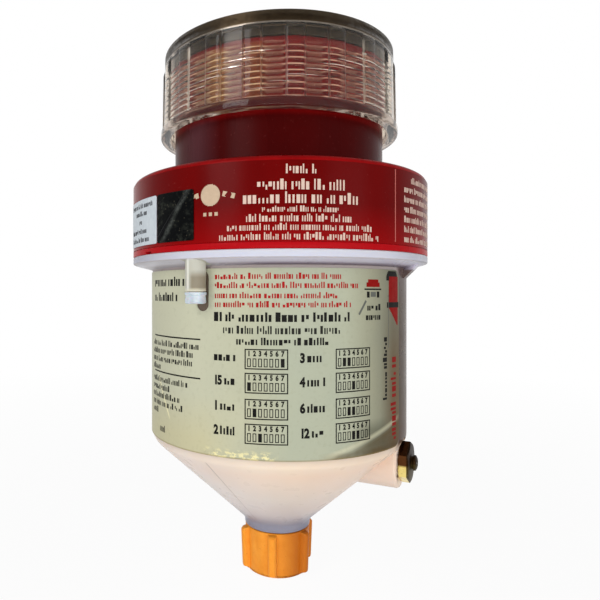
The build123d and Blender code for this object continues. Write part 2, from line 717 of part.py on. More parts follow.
def dip_switch_block():
    """Switch body with one slot for each lever."""
    length = SWITCH_COUNT * SWITCH_PITCH + 2 * SWITCH_END_MARGIN
    body = Pos(0, -SWITCH_OFFSET, BOARD_TOP) * block(length, SWITCH_BODY_WIDTH, SWITCH_BODY_HEIGHT)
    travel = SLIDER_LENGTH + SLIDER_TRAVEL + 2 * SLIDER_GAP
    slot = block(SLIDER_WIDTH + 2 * SLIDER_GAP, travel, SLIDER_DEPTH + CUT)
    for place in switch_row():
        body -= Pos(place, -SWITCH_OFFSET, BOARD_TOP + SWITCH_BODY_HEIGHT - SLIDER_DEPTH) * slot
    return body


def dip_slider(index):
    """Lever of one switch, at the off end of its slot."""
    base = BOARD_TOP + SWITCH_BODY_HEIGHT - SLIDER_DEPTH + SLIDER_GAP
    lever = block(SLIDER_WIDTH, SLIDER_LENGTH, SLIDER_DEPTH - SLIDER_GAP + SLIDER_STAND)
    return Pos(switch_row()[index], -SWITCH_OFFSET - SLIDER_TRAVEL / 2, base) * lever


def status_leds():
    """Two lamps beside the switches."""
    lamp = turned([
        (0, 0),
        (LED_RADIUS * 1.2, 0),
        (LED_RADIUS * 1.2, LED_HEIGHT / 5),
        (LED_RADIUS, LED_HEIGHT / 5),
        (LED_RADIUS, LED_HEIGHT * 0.65),
        (LED_RADIUS * 0.75, LED_HEIGHT * 0.9),
        (LED_RADIUS * 0.3, LED_HEIGHT),
        (0, LED_HEIGHT),
    ])
    return [Pos(side * LED_SPACING / 2, PARTS_ROW, BOARD_TOP) * lamp for side in (-1, 1)]


def control_chip():
    """Microcontroller on the board."""
    return Pos(0, PARTS_ROW / 3, BOARD_TOP) * block(CHIP_LENGTH, CHIP_WIDTH, CHIP_HEIGHT)


def cap_seal():
    """Flat gasket between the neck's rim and the cap's roof."""
    outer = THREAD_NECK_RADIUS + FACE_GAP
    return ring(outer - SEAL_WIDTH, outer, NECK_TOP, SEAL_TOP)


def top_cap():
    """Clear screw cap with grip pads round its wall and a bead at its rim."""
    outline = [
        (0, CAP_BOTTOM),
        (CAP_RADIUS + CAP_RIM_STAND, CAP_BOTTOM),
        (CAP_RADIUS + CAP_RIM_STAND, CAP_BOTTOM + CAP_RIM_HEIGHT),
        (CAP_RADIUS, CAP_BOTTOM + CAP_RIM_HEIGHT),
        (CAP_RADIUS - CAP_DRAFT, CAP_TOP),
        (0, CAP_TOP),
    ]
    cap = turned(outline, rounds=[(4, CAP_ROUND)])
    pad_low = CAP_BOTTOM + CAP_RIM_HEIGHT - FUSE
    pad_high = CAP_TOP - CAP_PAD_DROP
    outer = CAP_RADIUS + CAP_PAD_STAND
    band = turned([
        (CAP_BORE + CAP_WALL / 2, pad_low),
        (outer, pad_low),
        (outer - CAP_DRAFT, pad_high),
        (CAP_BORE + CAP_WALL / 2, pad_high),
    ])
    pad = Pos(0, -outer, pad_low) * block(CAP_PAD_WIDTH, 2 * CAP_WALL, pad_high - pad_low)
    pad &= band
    for index in range(CAP_PAD_COUNT):
        cap += at_front(CAP_PAD_AZIMUTH + index * 360 / CAP_PAD_COUNT, pad)
    return cap - rod(CAP_BORE, CAP_BOTTOM - CUT, SEAL_TOP)


def build():
    """All sub-parts by node name."""
    _, _, upper, lower = piston_levels()
    parts = {
        "reservoir_body": reservoir_body(),
        "reservoir_label": reservoir_label(),
        "vent_cap": vent_cap(),
        "piston": piston(),
        "piston_ring_upper": piston_ring(upper),
        "piston_ring_lower": piston_ring(lower),
        "outlet_cap": outlet_cap(),
        "grease_fitting": grease_fitting(),
        "check_ball": check_ball(),
        "check_spring": check_spring(),
        "bulkhead": bulkhead(),
        "bulkhead_seal": bulkhead_seal(),
        "head_housing": head_housing(),
        "head_label": head_label(),
        "seal_sticker": head_sticker(SEAL_STICKER_START_AZIMUTH, SEAL_STICKER_END_AZIMUTH),
        "date_sticker": head_sticker(DATE_STICKER_START_AZIMUTH, DATE_STICKER_END_AZIMUTH),
        "gas_cell": gas_cell(),
        "battery_tray": battery_tray(),
        "battery_contacts": Compound(children=battery_contacts()),
        "circuit_board": circuit_board(),
        "board_screws": Compound(children=board_screws()),
        "dip_switch_block": dip_switch_block(),
        "status_leds": Compound(children=status_leds()),
        "control_chip": control_chip(),
        "cap_seal": cap_seal(),
        "top_cap": top_cap(),
    }
    for index in range(BATTERY_COUNT):
        parts[f"battery_{index + 1}"] = battery(index)
    for index in range(SWITCH_COUNT):
        parts[f"dip_slider_{index + 1}"] = dip_slider(index)
    return parts


os.makedirs("parts", exist_ok=True)
for name, shape in build().items():
    export_step(shape, f"parts/{name}.step")
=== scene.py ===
import math
import random

import bmesh
import bpy
from mathutils import Matrix, Vector


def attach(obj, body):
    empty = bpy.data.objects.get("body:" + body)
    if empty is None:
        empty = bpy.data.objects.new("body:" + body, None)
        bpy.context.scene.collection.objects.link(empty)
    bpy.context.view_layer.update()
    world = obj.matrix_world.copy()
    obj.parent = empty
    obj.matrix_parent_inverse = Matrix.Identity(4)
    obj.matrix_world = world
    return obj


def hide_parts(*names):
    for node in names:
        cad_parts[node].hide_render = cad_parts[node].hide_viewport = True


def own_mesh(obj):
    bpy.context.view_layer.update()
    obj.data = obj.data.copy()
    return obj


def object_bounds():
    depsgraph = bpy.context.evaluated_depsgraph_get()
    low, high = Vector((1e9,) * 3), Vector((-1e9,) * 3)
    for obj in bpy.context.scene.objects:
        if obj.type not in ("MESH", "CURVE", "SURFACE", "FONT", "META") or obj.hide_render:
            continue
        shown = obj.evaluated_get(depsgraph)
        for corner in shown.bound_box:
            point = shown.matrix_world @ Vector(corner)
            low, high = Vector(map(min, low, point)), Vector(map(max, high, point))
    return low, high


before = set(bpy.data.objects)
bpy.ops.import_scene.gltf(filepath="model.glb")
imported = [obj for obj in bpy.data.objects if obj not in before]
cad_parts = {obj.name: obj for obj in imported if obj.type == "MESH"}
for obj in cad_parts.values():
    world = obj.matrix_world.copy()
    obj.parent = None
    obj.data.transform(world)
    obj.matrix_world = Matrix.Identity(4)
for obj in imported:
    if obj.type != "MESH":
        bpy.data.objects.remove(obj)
cad_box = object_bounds()


# Reservoir: one injection moulding in milky translucent polymer. The cylinder runs into a funnel
# and a spout; a collar carries the head, a boss takes the refill fitting, two webs stiffen the
# collar and a small vent tube hangs under it.
BODY_RADIUS = 0.040
BODY_WALL = 0.002
SPOUT_RADIUS = 0.00685
SPOUT_BORE = 0.0025
SPOUT_LENGTH = 0.0122
NECK_RADIUS = 0.0104
FUNNEL_FOOT = 0.0143
SHOULDER = 0.0417
COLLAR_FOOT = 0.0930
COLLAR_LOW = 0.09455
COLLAR_TOP = 0.0966
COLLAR_RADIUS = 0.04598
FITTING_AZIMUTH = math.radians(62.5)
FITTING_HEIGHT = 0.0368
BOSS_RADIUS = 0.00765
BOSS_REACH = 0.0390
VENT_AZIMUTH = math.radians(-33.9)
VENT_REACH = 0.0433
VENT_RADIUS = 0.0027
VENT_END = 0.0840
ROUNDING_STEPS = 7
SHARP_EDGE = math.radians(32)


def outline(*corners):
    """Points round a closed section. A corner is (radius, height), then perhaps a rounding and the
    pitch at which the stretch after it is split."""
    points = []
    for index, corner in enumerate(corners):
        here = Vector(corner[:2])
        before = Vector(corners[index - 1][:2]) - here
        after = Vector(corners[(index + 1) % len(corners)][:2]) - here
        rounding = corner[2] if len(corner) > 2 else 0
        if rounding:
            half = before.angle(after) / 2
            inwards = (before.normalized() + after.normalized()).normalized()
            middle = here + inwards * rounding / math.sin(half)
            start = here + before.normalized() * rounding / math.tan(half) - middle
            turning = start.angle_signed(here + after.normalized() * rounding / math.tan(half) - middle)
            for step in range(ROUNDING_STEPS + 1):
                points.append(middle + Matrix.Rotation(-turning * step / ROUNDING_STEPS, 2) @ start)
        else:
            points.append(here)
        if len(corner) > 3:
            parts = round(after.length / corner[3])
            points += [here + after * part / parts for part in range(1, parts)]
    return points


def closed(build):
    """Plain mesh of a bmesh, with its faces turned outwards."""
    bmesh.ops.recalc_face_normals(build, faces=build.faces)
    if build.calc_volume(signed=True) < 0:
        bmesh.ops.reverse_faces(build, faces=build.faces)
    mesh = bpy.data.meshes.new("closed")
    build.to_mesh(mesh)
    build.free()
    return mesh


def turned(section, steps=180):
    """Mesh turned round Z from a closed section; points on the axis become one pole."""
    build = bmesh.new()
    rings = []
    for radius, height in section:
        if radius < 1e-6:
            rings.append([build.verts.new((0, 0, height))] * steps)
            continue
        turns = [math.tau * step / steps for step in range(steps)]
        rings.append([build.verts.new((radius * math.sin(t), -radius * math.cos(t), height)) for t in turns])
    for low, high in zip(rings, rings[1:] + rings[:1]):
        for step in range(steps):
            corners = list(dict.fromkeys([low[step], low[step - 1], high[step - 1], high[step]]))
            if len(corners) > 2:
                build.faces.new(corners)
    return closed(build)


def rod(low, high, radius, steps):
    """Plain cylinder round Z between two heights."""
    return turned(outline((0, low), (radius, low), (radius, high), (0, high)), steps)


def prism(corners, thickness):
    """Closed slab: corners are (outward, height) pairs on the front side, centred on X."""
    build = bmesh.new()
    near = [build.verts.new((-thickness / 2, -reach, height)) for reach, height in corners]
    grown = bmesh.ops.extrude_face_region(build, geom=[build.faces.new(near)])
    far = [item for item in grown["geom"] if isinstance(item, bmesh.types.BMVert)]
    bmesh.ops.translate(build, vec=(thickness, 0, 0), verts=far)
    return closed(build)


def moved(mesh, matrix):
    """The mesh itself, moved by a matrix."""
    mesh.transform(matrix)
    return mesh


def linked(name, data):
    """A new object in the scene."""
    item = bpy.data.objects.new(name, data)
    bpy.context.scene.collection.objects.link(item)
    return item


def baked(item, *helpers):
    """The plain mesh that an object's modifiers make; the object and its helpers go."""
    ready = item.evaluated_get(bpy.context.evaluated_depsgraph_get())
    mesh = bpy.data.meshes.new_from_object(ready)
    for used in (item, *helpers):
        bpy.data.objects.remove(used)
    return mesh


def combined(mesh, operation, *tools):
    """A new mesh: the first one with the others joined to it or cut from it."""
    base = linked("base", mesh)
    helpers = [linked("tool", tool) for tool in tools]
    for helper in helpers:
        step = base.modifiers.new("step", "BOOLEAN")
        step.operation = operation
        step.solver = "EXACT"
        step.object = helper
    return baked(base, *helpers)


def turn(azimuth):
    """Matrix that swings the front side round Z to an azimuth."""
    return Matrix.Rotation(azimuth, 4, "Z")


class Value:
    """A number or a vector inside a node tree; arithmetic on it adds Math nodes."""

    def __init__(self, owner, socket):
        self.owner = owner
        self.socket = socket

    def math(self, operation, *others, clamp=False):
        inputs = dict(enumerate((self, *others)))
        return self.owner.node("ShaderNodeMath", {"operation": operation, "use_clamp": clamp}, inputs)

    def __add__(self, other):
        return self.math("ADD", other)

    __radd__ = __add__

    def __mul__(self, other):
        return self.math("MULTIPLY", other)

    __rmul__ = __mul__

    def __sub__(self, other):
        return self.math("SUBTRACT", other)

    def __rsub__(self, other):
        return self.math("MULTIPLY_ADD", -1.0, other)

    def __truediv__(self, other):
        return self.math("DIVIDE", other)

    def __rtruediv__(self, other):
        return self.owner.node("ShaderNodeMath", {"operation": "DIVIDE"}, {0: other, 1: self})

    def __pow__(self, other):
        return self.math("POWER", other)

    def __abs__(self):
        return self.math("ABSOLUTE")

    def above(self, level, soft):
        """Mask that rises from 0 to 1 over a width about a level."""
        return self.math("MULTIPLY_ADD", 1 / soft, 0.5 - level / soft, clamp=True)

    def below(self, level, soft):
        """Mask that falls from 1 to 0 over a width about a level."""
        return self.math("MULTIPLY_ADD", -1 / soft, 0.5 + level / soft, clamp=True)

    def within(self, low, high, soft):
        """Mask that is 1 between two levels."""
        return self.above(low, soft) * self.below(high, soft)


class Nodes:
    """A node tree that is filled from the script."""

    def __init__(self, tree):
        self.tree = tree

    def node(self, kind, settings, inputs, output=0):
        """Adds a node: its type, settings, the values or links of its sockets, and the output to use."""
        made = self.tree.nodes.new(kind)
        for name, value in settings.items():
            if name == "stops":
                self.fill(made.color_ramp, value)
            else:
                setattr(made, name, value)
        for name, value in inputs.items():
            if isinstance(value, Value):
                self.tree.links.new(value.socket, made.inputs[name])
            else:
                made.inputs[name].default_value = value
        return Value(self, made.outputs[output]) if made.outputs else made

    def fill(self, ramp, stops):
        """Sets a ramp's stops, given as (position, colour) pairs."""
        while len(ramp.elements) > 1:
            ramp.elements.remove(ramp.elements[-1])
        for index, (position, colour) in enumerate(stops):
            element = ramp.elements[0] if index == 0 else ramp.elements.new(position)
            element.position = position
            element.color = colour

    def parts(self, vector):
        """The three parts of a vector."""
        first = self.node("ShaderNodeSeparateXYZ", {}, {0: vector})
        return [Value(self, socket) for socket in first.socket.node.outputs]


class Finish(Nodes):
    """A material for one piece: a Principled shader and the nodes that feed it."""

    def __init__(self, name, **fixed):
        self.material = bpy.data.materials.new(name)
        self.material.use_nodes = True
        super().__init__(self.material.node_tree)
        self.tree.nodes.clear()
        self.shader = self.tree.nodes.new("ShaderNodeBsdfPrincipled")
        surface = self.tree.nodes.new("ShaderNodeOutputMaterial")
        self.tree.links.new(self.shader.outputs[0], surface.inputs[0])
        self.place = self.node("ShaderNodeTexCoord", {}, {}, "Object")
        self.x, self.y, self.z = self.parts(self.place)
        self.give(**fixed)

    def give(self, **sockets):
        """Feeds the shader: base_color=..., roughness=... with a value or a link."""
        for name, value in sockets.items():
            socket = self.shader.inputs[SOCKETS.get(name, name.replace("_", " ").title())]
            if isinstance(value, Value):
                self.tree.links.new(value.socket, socket)
            else:
                socket.default_value = value

    def azimuth(self):
        """Angle round Z from the front, in degrees, positive to the right."""
        return self.x.math("ARCTAN2", 0 - self.y) * math.degrees(1)

    def reach(self):
        """Distance from the axis."""
        return (self.x * self.x + self.y * self.y).math("SQRT")

    def noise(self, scale, detail=3.0, rough=0.5, stretch=(1, 1, 1)):
        """Cloudy values about 0.5, with features about 1 / scale metres wide."""
        spot = self.node("ShaderNodeMapping", {}, {"Vector": self.place, "Scale": stretch})
        grain = {"Vector": spot, "Scale": scale, "Detail": detail, "Roughness": rough}
        return self.node("ShaderNodeTexNoise", {}, grain)

    def ramp(self, value, *stops):
        """Colour from a value between 0 and 1, by (position, (red, green, blue)) stops."""
        stops = [(position, ink(*colour)) for position, colour in stops]
        return self.node("ShaderNodeValToRGB", {"stops": stops}, {0: value})

    def mix(self, mask, first, second, blend="MIX"):
        """First colour where the mask is 0, second where it is 1. A triple is (red, green, blue)."""
        settings = {"data_type": "RGBA", "blend_type": blend}
        first, second = [ink(*c) if isinstance(c, tuple) and len(c) == 3 else c for c in (first, second)]
        return self.node("ShaderNodeMix", settings, {0: mask, 6: first, 7: second}, 2)

    def layered(self, colour, *layers):
        """A colour with others laid over it in turn, given as (mask, colour) pairs."""
        for mask, over in layers:
            colour = self.mix(mask, colour, over)
        return colour

    def bump(self, height, distance, strength=1.0):
        """Surface relief of a given depth in metres."""
        relief = {"Strength": strength, "Distance": distance, "Height": height}
        self.give(normal=self.node("ShaderNodeBump", {}, relief))


SOCKETS = {
    "ior": "IOR",
    "coat": "Coat Weight",
    "transmission": "Transmission Weight",
    "specular": "Specular IOR Level",
    "subsurface": "Subsurface Weight",
}


def ink(red, green, blue):
    """Colour as a shader wants it, from 0 to 255 display values."""
    shares = [part / 255 for part in (red, green, blue)]
    return (*[s / 12.92 if s <= 0.04045 else ((s + 0.055) / 1.055) ** 2.4 for s in shares], 1)


def put(name, mesh, material, body, slot, *replaced):
    """Puts a finished mesh in the scene: smooth but for its sharp edges, riding on a body."""
    piece = linked(name, mesh)
    mesh.materials.clear()
    mesh.materials.append(material)
    mesh.shade_smooth()
    mesh.set_sharp_from_angle(angle=SHARP_EDGE)
    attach(piece, body)
    if replaced:
        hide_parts(*replaced)
    return piece


def at_fitting():
    """Frame of the refill fitting: Z points outwards along it and Y points up."""
    raised = Matrix.Translation((0, 0, FITTING_HEIGHT))
    return raised @ turn(FITTING_AZIMUTH) @ Matrix.Rotation(math.pi / 2, 4, "X")


def at_vent():
    """Frame of the vent tube, on its axis at the level of the outlet's end face."""
    return turn(VENT_AZIMUTH) @ Matrix.Translation((0, -VENT_REACH, 0))


reservoir = turned(outline(
    (0, 0),
    (SPOUT_RADIUS, 0, 0.0005),
    (SPOUT_RADIUS, SPOUT_LENGTH),
    (NECK_RADIUS, SPOUT_LENGTH, 0.0003),
    (NECK_RADIUS, FUNNEL_FOOT, 0.004),
    (BODY_RADIUS, SHOULDER, 0.005),
    (BODY_RADIUS, COLLAR_FOOT, 0.0006),
    (COLLAR_RADIUS, COLLAR_LOW, 0.0005),
    (COLLAR_RADIUS, COLLAR_TOP, 0.0004),
    (0, COLLAR_TOP),
))
boss_outline = outline((0, 0.020), (BOSS_RADIUS, 0.020), (BOSS_RADIUS, BOSS_REACH, 0.0008), (0, BOSS_REACH))
boss = moved(turned(boss_outline, 96), at_fitting())
web = [(0.0395, 0.0955), (0.0446, 0.0955), (0.0446, 0.0945), (0.0402, 0.0901), (0.0395, 0.0901)]
webs = [moved(prism(web, 0.004), turn(FITTING_AZIMUTH + side)) for side in (0, math.pi)]
vent = moved(turned(outline(
    (0, VENT_END),
    (0.00195, VENT_END, 0.0002),
    (0.00195, 0.0862),
    (VENT_RADIUS, 0.0862, 0.0002),
    (VENT_RADIUS, 0.0952),
    (0, 0.0952),
), 64), at_vent())
reservoir = combined(reservoir, "UNION", boss, *webs, vent)
cavity = turned(outline(
    (0, -0.001),
    (SPOUT_BORE, -0.001),
    (SPOUT_BORE, 0.0097),
    (BODY_RADIUS - BODY_WALL, 0.04257, 0.003),
    (BODY_RADIUS - BODY_WALL, 0.0976),
    (0, 0.0976),
))
seat = moved(rod(0.034, 0.045, 0.00518, 64), at_fitting())
passage = moved(rod(0.020, 0.036, 0.0013, 32), at_fitting())
spot_face = moved(rod(BOSS_REACH, 0.046, 0.007, 96), at_fitting())
vent_bore = moved(rod(0.083, 0.0976, 0.0012, 32), at_vent())
reservoir = combined(reservoir, "DIFFERENCE", cavity, seat, passage, spot_face, vent_bore)

milky = Finish("milky_moulding", specular=0.05, subsurface=0.3, subsurface_scale=0.003,
               subsurface_radius=(1.0, 0.8, 0.6))
around, level, out = milky.azimuth(), milky.z, milky.reach()
funnel = level.within(0.020, 0.043, 0.006)
collar = level.above(0.0940, 0.0006)
# Painted shade: the bare wall right of the label is tinted dark brown for the shaded side of the cylinder.
shaded_strip = around.above(52, 4) * around.below(84, 44) * level.above(0.0425, 0.002)
strip_shade_tint = milky.ramp(level * 10, (0.44, (64, 34, 6)), (0.56, (58, 40, 12)), (0.70, (62, 46, 28)),
                        (0.82, (70, 56, 40)), (0.92, (92, 76, 74)))
# Painted shade: the wall in the label's slot behind the vent tube is tinted dark for the shadowed inside
# seen there.
slot_shade = around.within(-37.2, -30.6, 0.6) * level.within(0.0805, 0.0925, 0.0008)
slot_shade = slot_shade * out.below(0.0404, 0.0003)
tube = around.within(-38, -29.5, 0.5) * out.above(0.0405, 0.0002) * level.below(0.0945, 0.0006)
# Painted light on the vent tube: its right side is darkened for the dark slot seen through it, with a
# painted highlight line down its front and a painted bright band at its foot.
tube_side_shade = around.above(-33.6, 1.4) * level.within(0.0850, 0.0908, 0.002)
tube_tint = milky.layered(
    milky.mix(tube_side_shade, (196, 196, 184), (150, 142, 124)),
    (around.within(-34.9, -34.1, 0.4), (232, 232, 222)),
    (level.below(0.0868, 0.0008) * 0.8, (232, 228, 206)),
)
shelf = level.within(0.0925, 0.0945, 0.0004) * out.above(0.0402, 0.0003) * (1 - tube)
# Painted shade under the collar: dark next to the wall and lighter towards the rim, with painted light on
# the left side.
shelf_shade_tint = milky.ramp((out - 0.040) / 0.006, (0.0, (84, 72, 78)), (0.22, (132, 122, 134)),
                        (0.5, (196, 192, 208)), (1.0, (214, 214, 228)))
shelf_shade_tint = milky.mix(around.within(-110, -22, 24) * 0.5, shelf_shade_tint, (222, 220, 226))
tint = milky.ramp(
    level * 10,
    (0.10, (130, 130, 148)),
    (0.15, (150, 150, 164)),
    (0.20, (200, 194, 194)),
    (0.28, (224, 214, 204)),
    (0.38, (242, 216, 194)),
    (0.412, (246, 226, 204)),
    (0.45, (182, 166, 152)),
    (0.90, (172, 160, 158)),
)
tint = milky.layered(
    tint,
    # Painted light on the funnel: warmer and lighter on its right side, lighter on its left.
    (around.within(20, 110, 60) * funnel * 0.45, (240, 212, 194)),
    (around.within(-100, -20, 40) * funnel * 0.5, (242, 232, 230)),
    (shaded_strip * 0.95, strip_shade_tint),
    (slot_shade, (112, 98, 86)),
    (tube, tube_tint),
    (shelf, shelf_shade_tint),
    # The collar's pale colour carries a painted bluish reflection, a painted highlight along its top and
    # painted shade on both sides.
    (level.above(0.09465, 0.0002), (206, 208, 222)),
    (level.above(0.0958, 0.0006) * 0.6, (214, 214, 222)),
    (collar * around.within(52, 120, 40) * 0.5, (118, 116, 122)),
    (collar * around.within(-120, -50, 30) * 0.5, (142, 142, 150)),
)
clouds = milky.noise(60, 3).above(0.5, 0.5) * 0.3
seam = around.within(-34.4, -33.6, 0.3) * level.within(0.0150, 0.0405, 0.0008)
tint = milky.mix(clouds, tint, (232, 226, 220), "MULTIPLY")
tint = milky.mix(seam * 0.4, tint, (140, 126, 118))
opaque = shaded_strip.math("MAXIMUM", slot_shade).math("MAXIMUM", shelf)
milky.give(base_color=tint, roughness=milky.noise(240, 3) * 0.2 + 0.2, alpha=opaque * 0.08 + 0.92)
milky.bump(milky.noise(110, 4) * 0.4 + milky.noise(900, 2) * 0.08 + seam * 0.8, 0.0004, 0.3)
put("reservoir_moulding", reservoir, milky.material, "housing", "clear_moulding", "reservoir_body")


# Reservoir label: a thin satin film printed in black and red, wrapped round the front of the
# cylinder between the two webs and slotted behind the vent tube. Its lower edge has crinkled.
LABEL_RADIUS = 0.04026
LABEL_START = math.radians(-112)
LABEL_END = math.radians(53)
LABEL_LOW = 0.0433
LABEL_HIGH = 0.0922
LABEL_CORNER = 0.003
FILM = 0.0002


def film(radius, start, end, low, high, corner, pitch=0.0012):
    """Curved film between two azimuths with rounded corners, as a closed thin sheet."""
    build = bmesh.new()
    foot = [low + corner * (1 - math.cos(math.pi / 2 * step / 6)) for step in range(6)]
    middle = max(2, round((high - low - 2 * corner) / pitch))
    levels = foot + [low + corner + (high - low - 2 * corner) * step / middle for step in range(middle + 1)]
    levels += [high + low - level for level in reversed(foot)]
    columns = max(4, round((end - start) * radius / pitch))
    sheets = []
    for depth in (radius - FILM, radius):
        rows = []
        for level in levels:
            near = min(level - low, high - level)
            inset = corner - math.sqrt(max(0, corner**2 - (corner - near) ** 2)) if near < corner else 0
            first, last = start + inset / radius, end - inset / radius
            turns = [first + (last - first) * column / columns for column in range(columns + 1)]
            rows.append([build.verts.new((depth * math.sin(t), -depth * math.cos(t), level)) for t in turns])
        sheets.append(rows)
    for rows in sheets:
        for under, over in zip(rows, rows[1:]):
            for column in range(columns):
                build.faces.new([under[column], under[column + 1], over[column + 1], over[column]])
    back, front = sheets
    for edge in (0, columns):
        for row in range(len(levels) - 1):
            build.faces.new([back[row][edge], back[row + 1][edge], front[row + 1][edge], front[row][edge]])
    for edge in (0, -1):
        near, far = back[edge], front[edge]
        for column in range(columns):
            build.faces.new([near[column], near[column + 1], far[column + 1], far[column]])
    return closed(build)


label = film(LABEL_RADIUS, LABEL_START, LABEL_END, LABEL_LOW, LABEL_HIGH, LABEL_CORNER)
SLOT_MIDDLE = 0.0864
SLOT_HALF = 0.00345
SLOT_RADIUS = 0.00195
slot_outline = []
for step in range(24):
    angle = math.tau * step / 24
    middle = SLOT_MIDDLE + math.copysign(SLOT_HALF, math.sin(angle + 1e-6))
    slot_outline.append((SLOT_RADIUS * math.cos(angle), middle + SLOT_RADIUS * math.sin(angle)))
slot_place = turn(VENT_AZIMUTH) @ Matrix.Translation((0, -BODY_RADIUS, 0)) @ turn(math.pi / 2)
label = combined(label, "DIFFERENCE", moved(prism(slot_outline, 0.006), slot_place))

paper = Finish("label_film", specular=0.06)
around, level = paper.azimuth(), paper.z
stains = paper.noise(38, 4, 0.6)
folds = paper.noise(620, 4, 0.6, (1, 1, 1.6))
edge = level - around * 0.00019 - 0.0408
# Painted shade: brown below the slanting lifted edge at the lower right.
lifted_edge_shade = edge.below(-0.0004, 0.0012) * around.above(20, 12)
foot = level.below(0.0448, 0.0009) * around.within(14, 54, 8) * stains.above(0.44, 0.2)
# Painted highlight: a pale stripe along the ridge of the bubble above the lifted edge. The same mask raises
# the bubble in the relief.
bubble_and_highlight = abs(edge - 0.0007).below(0.0006, 0.0008) * around.within(14, 50, 6)
# Painted highlight: a bright slanting line along a crease at the left. The crease has no relief of its own.
crease_highlight = abs(around + 57 + (level - 0.055) * 900).below(0.5, 0.7) * level.within(0.051, 0.062, 0.002)
# Painted highlights: light spots on the crinkled foot of the film, laid over the same crinkles that the
# relief raises.
crinkle_and_glints = level.below(0.0452, 0.0014) * around.within(-33, -6, 4)
tone = paper.layered(
    paper.mix(stains.above(0.48, 0.4), (168, 170, 148), (180, 179, 152)),
    (around.within(-8, 26, 16) * 0.5, (158, 166, 150)),
    # Painted light: the film lighter on its left side.
    (around.below(-24, 26) * 0.6, (200, 200, 176)),
    (level.below(0.053, 0.012) * around.below(-26, 16) * 0.5, (196, 186, 140)),
    # Painted shade: the film darker towards its right side, brown painted shade low at the right edge and a
    # dark painted patch near the lower right.
    (around.above(34, 26) * 0.9, (102, 102, 88)),
    (around.above(43, 10) * level.below(0.076, 0.02) * 0.7, (96, 70, 34)),
    (around.within(28, 44, 8) * level.within(0.0440, 0.0512, 0.003) * 0.6, (80, 80, 64)),
    # Painted brown shade below the lifted edge, mottled by the stain noise. The stained foot laid with it is
    # the film's own stain.
    (lifted_edge_shade * (stains.above(0.46, 0.2) * 0.3 + 0.42) + foot * 0.5,
     paper.mix(stains.above(0.5, 0.3), (58, 42, 16), (106, 80, 38))),
    (bubble_and_highlight * 0.5, (206, 202, 172)),
    (crease_highlight * 0.7, (240, 232, 186)),
    (paper.noise(900, 2).above(0.64, 0.2) * 0.1, (110, 106, 84)),
    (crinkle_and_glints * folds.above(0.52, 0.1) * 0.85, (236, 226, 170)),
    (level.below(0.0436, 0.0003) * 0.5, (134, 114, 70)),
)
paper.give(base_color=tone, roughness=stains * 0.2 + 0.32)
waves = paper.noise(55, 3, 0.5, (1, 1, 0.5)) * 0.6
paper.bump(waves + crinkle_and_glints * folds * 1.4 + bubble_and_highlight * 0.6, 0.0009, 0.5)
put("reservoir_label_film", label, paper.material, "housing", "paper_label", "reservoir_label")


# Printing on the films: raised ink a few hundredths of a millimetre thick. A node tree wraps a short
# bar round the film for each mark, and rows of upright dashes and blocks take the place of wording.
INK_THICKNESS = 0.00002
INK_LIFT = 0.000012
LONGEST_BAR = 0.0018


def inked(name, *rgb):
    """Printing ink with a slightly uneven tone."""
    made = Finish(name, specular=0.03)
    colour = ink(*rgb)
    pale = [min(1, part * 1.4 + 0.01) for part in colour[:3]]
    wear = made.noise(700, 3).above(0.5, 0.6) * 0.5
    made.give(base_color=made.mix(wear, colour, (*pale, 1)), roughness=made.noise(300) * 0.2 + 0.35)
    return made.material


class Growth(Nodes):
    """A geometry node tree with a mesh coming in and named inputs for its sizes."""

    def __init__(self, name, *sizes):
        super().__init__(bpy.data.node_groups.new(name, "GeometryNodeTree"))
        face = self.tree.interface
        face.new_socket("Geometry", in_out="INPUT", socket_type="NodeSocketGeometry")
        for size in sizes:
            face.new_socket(size, in_out="INPUT", socket_type="NodeSocketFloat")
        face.new_socket("Geometry", in_out="OUTPUT", socket_type="NodeSocketGeometry")
        given = self.tree.nodes.new("NodeGroupInput")
        self.mesh, *self.sizes = [Value(self, socket) for socket in given.outputs[:-1]]
        self.spot = self.node("GeometryNodeInputPosition", {}, {})

    def polar(self):
        """Height, distance from the axis and azimuth of each point."""
        x, y, z = self.parts(self.spot)
        return z, (x * x + y * y).math("SQRT"), x.math("ARCTAN2", 0 - y)

    def swell(self, share):
        """Moves each point outwards by a share of its distance from the axis, and closes the tree."""
        x, y, z = self.parts(self.spot)
        offset = self.node("ShaderNodeCombineXYZ", {}, {0: x * share, 1: y * share})
        self.end(self.node("GeometryNodeSetPosition", {}, {"Geometry": self.mesh, "Offset": offset}))

    def end(self, geometry):
        """Makes copies real, sets the material and closes the tree."""
        real = self.node("GeometryNodeRealizeInstances", {}, {0: geometry})
        self.paint = self.node("GeometryNodeSetMaterial", {}, {"Geometry": real}).socket.node
        out = self.tree.nodes.new("NodeGroupOutput")
        self.tree.links.new(self.paint.outputs[0], out.inputs[0])

    def run(self, mesh, material, **sizes):
        """The plain mesh that the tree makes of a mesh, with its named inputs set."""
        self.paint.inputs["Material"].default_value = material
        holder = linked("holder", mesh)
        step = holder.modifiers.new("growth", "NODES")
        step.node_group = self.tree
        for item in self.tree.interface.items_tree:
            if item.name in sizes:
                step[item.identifier] = float(sizes[item.name])
        return baked(holder)


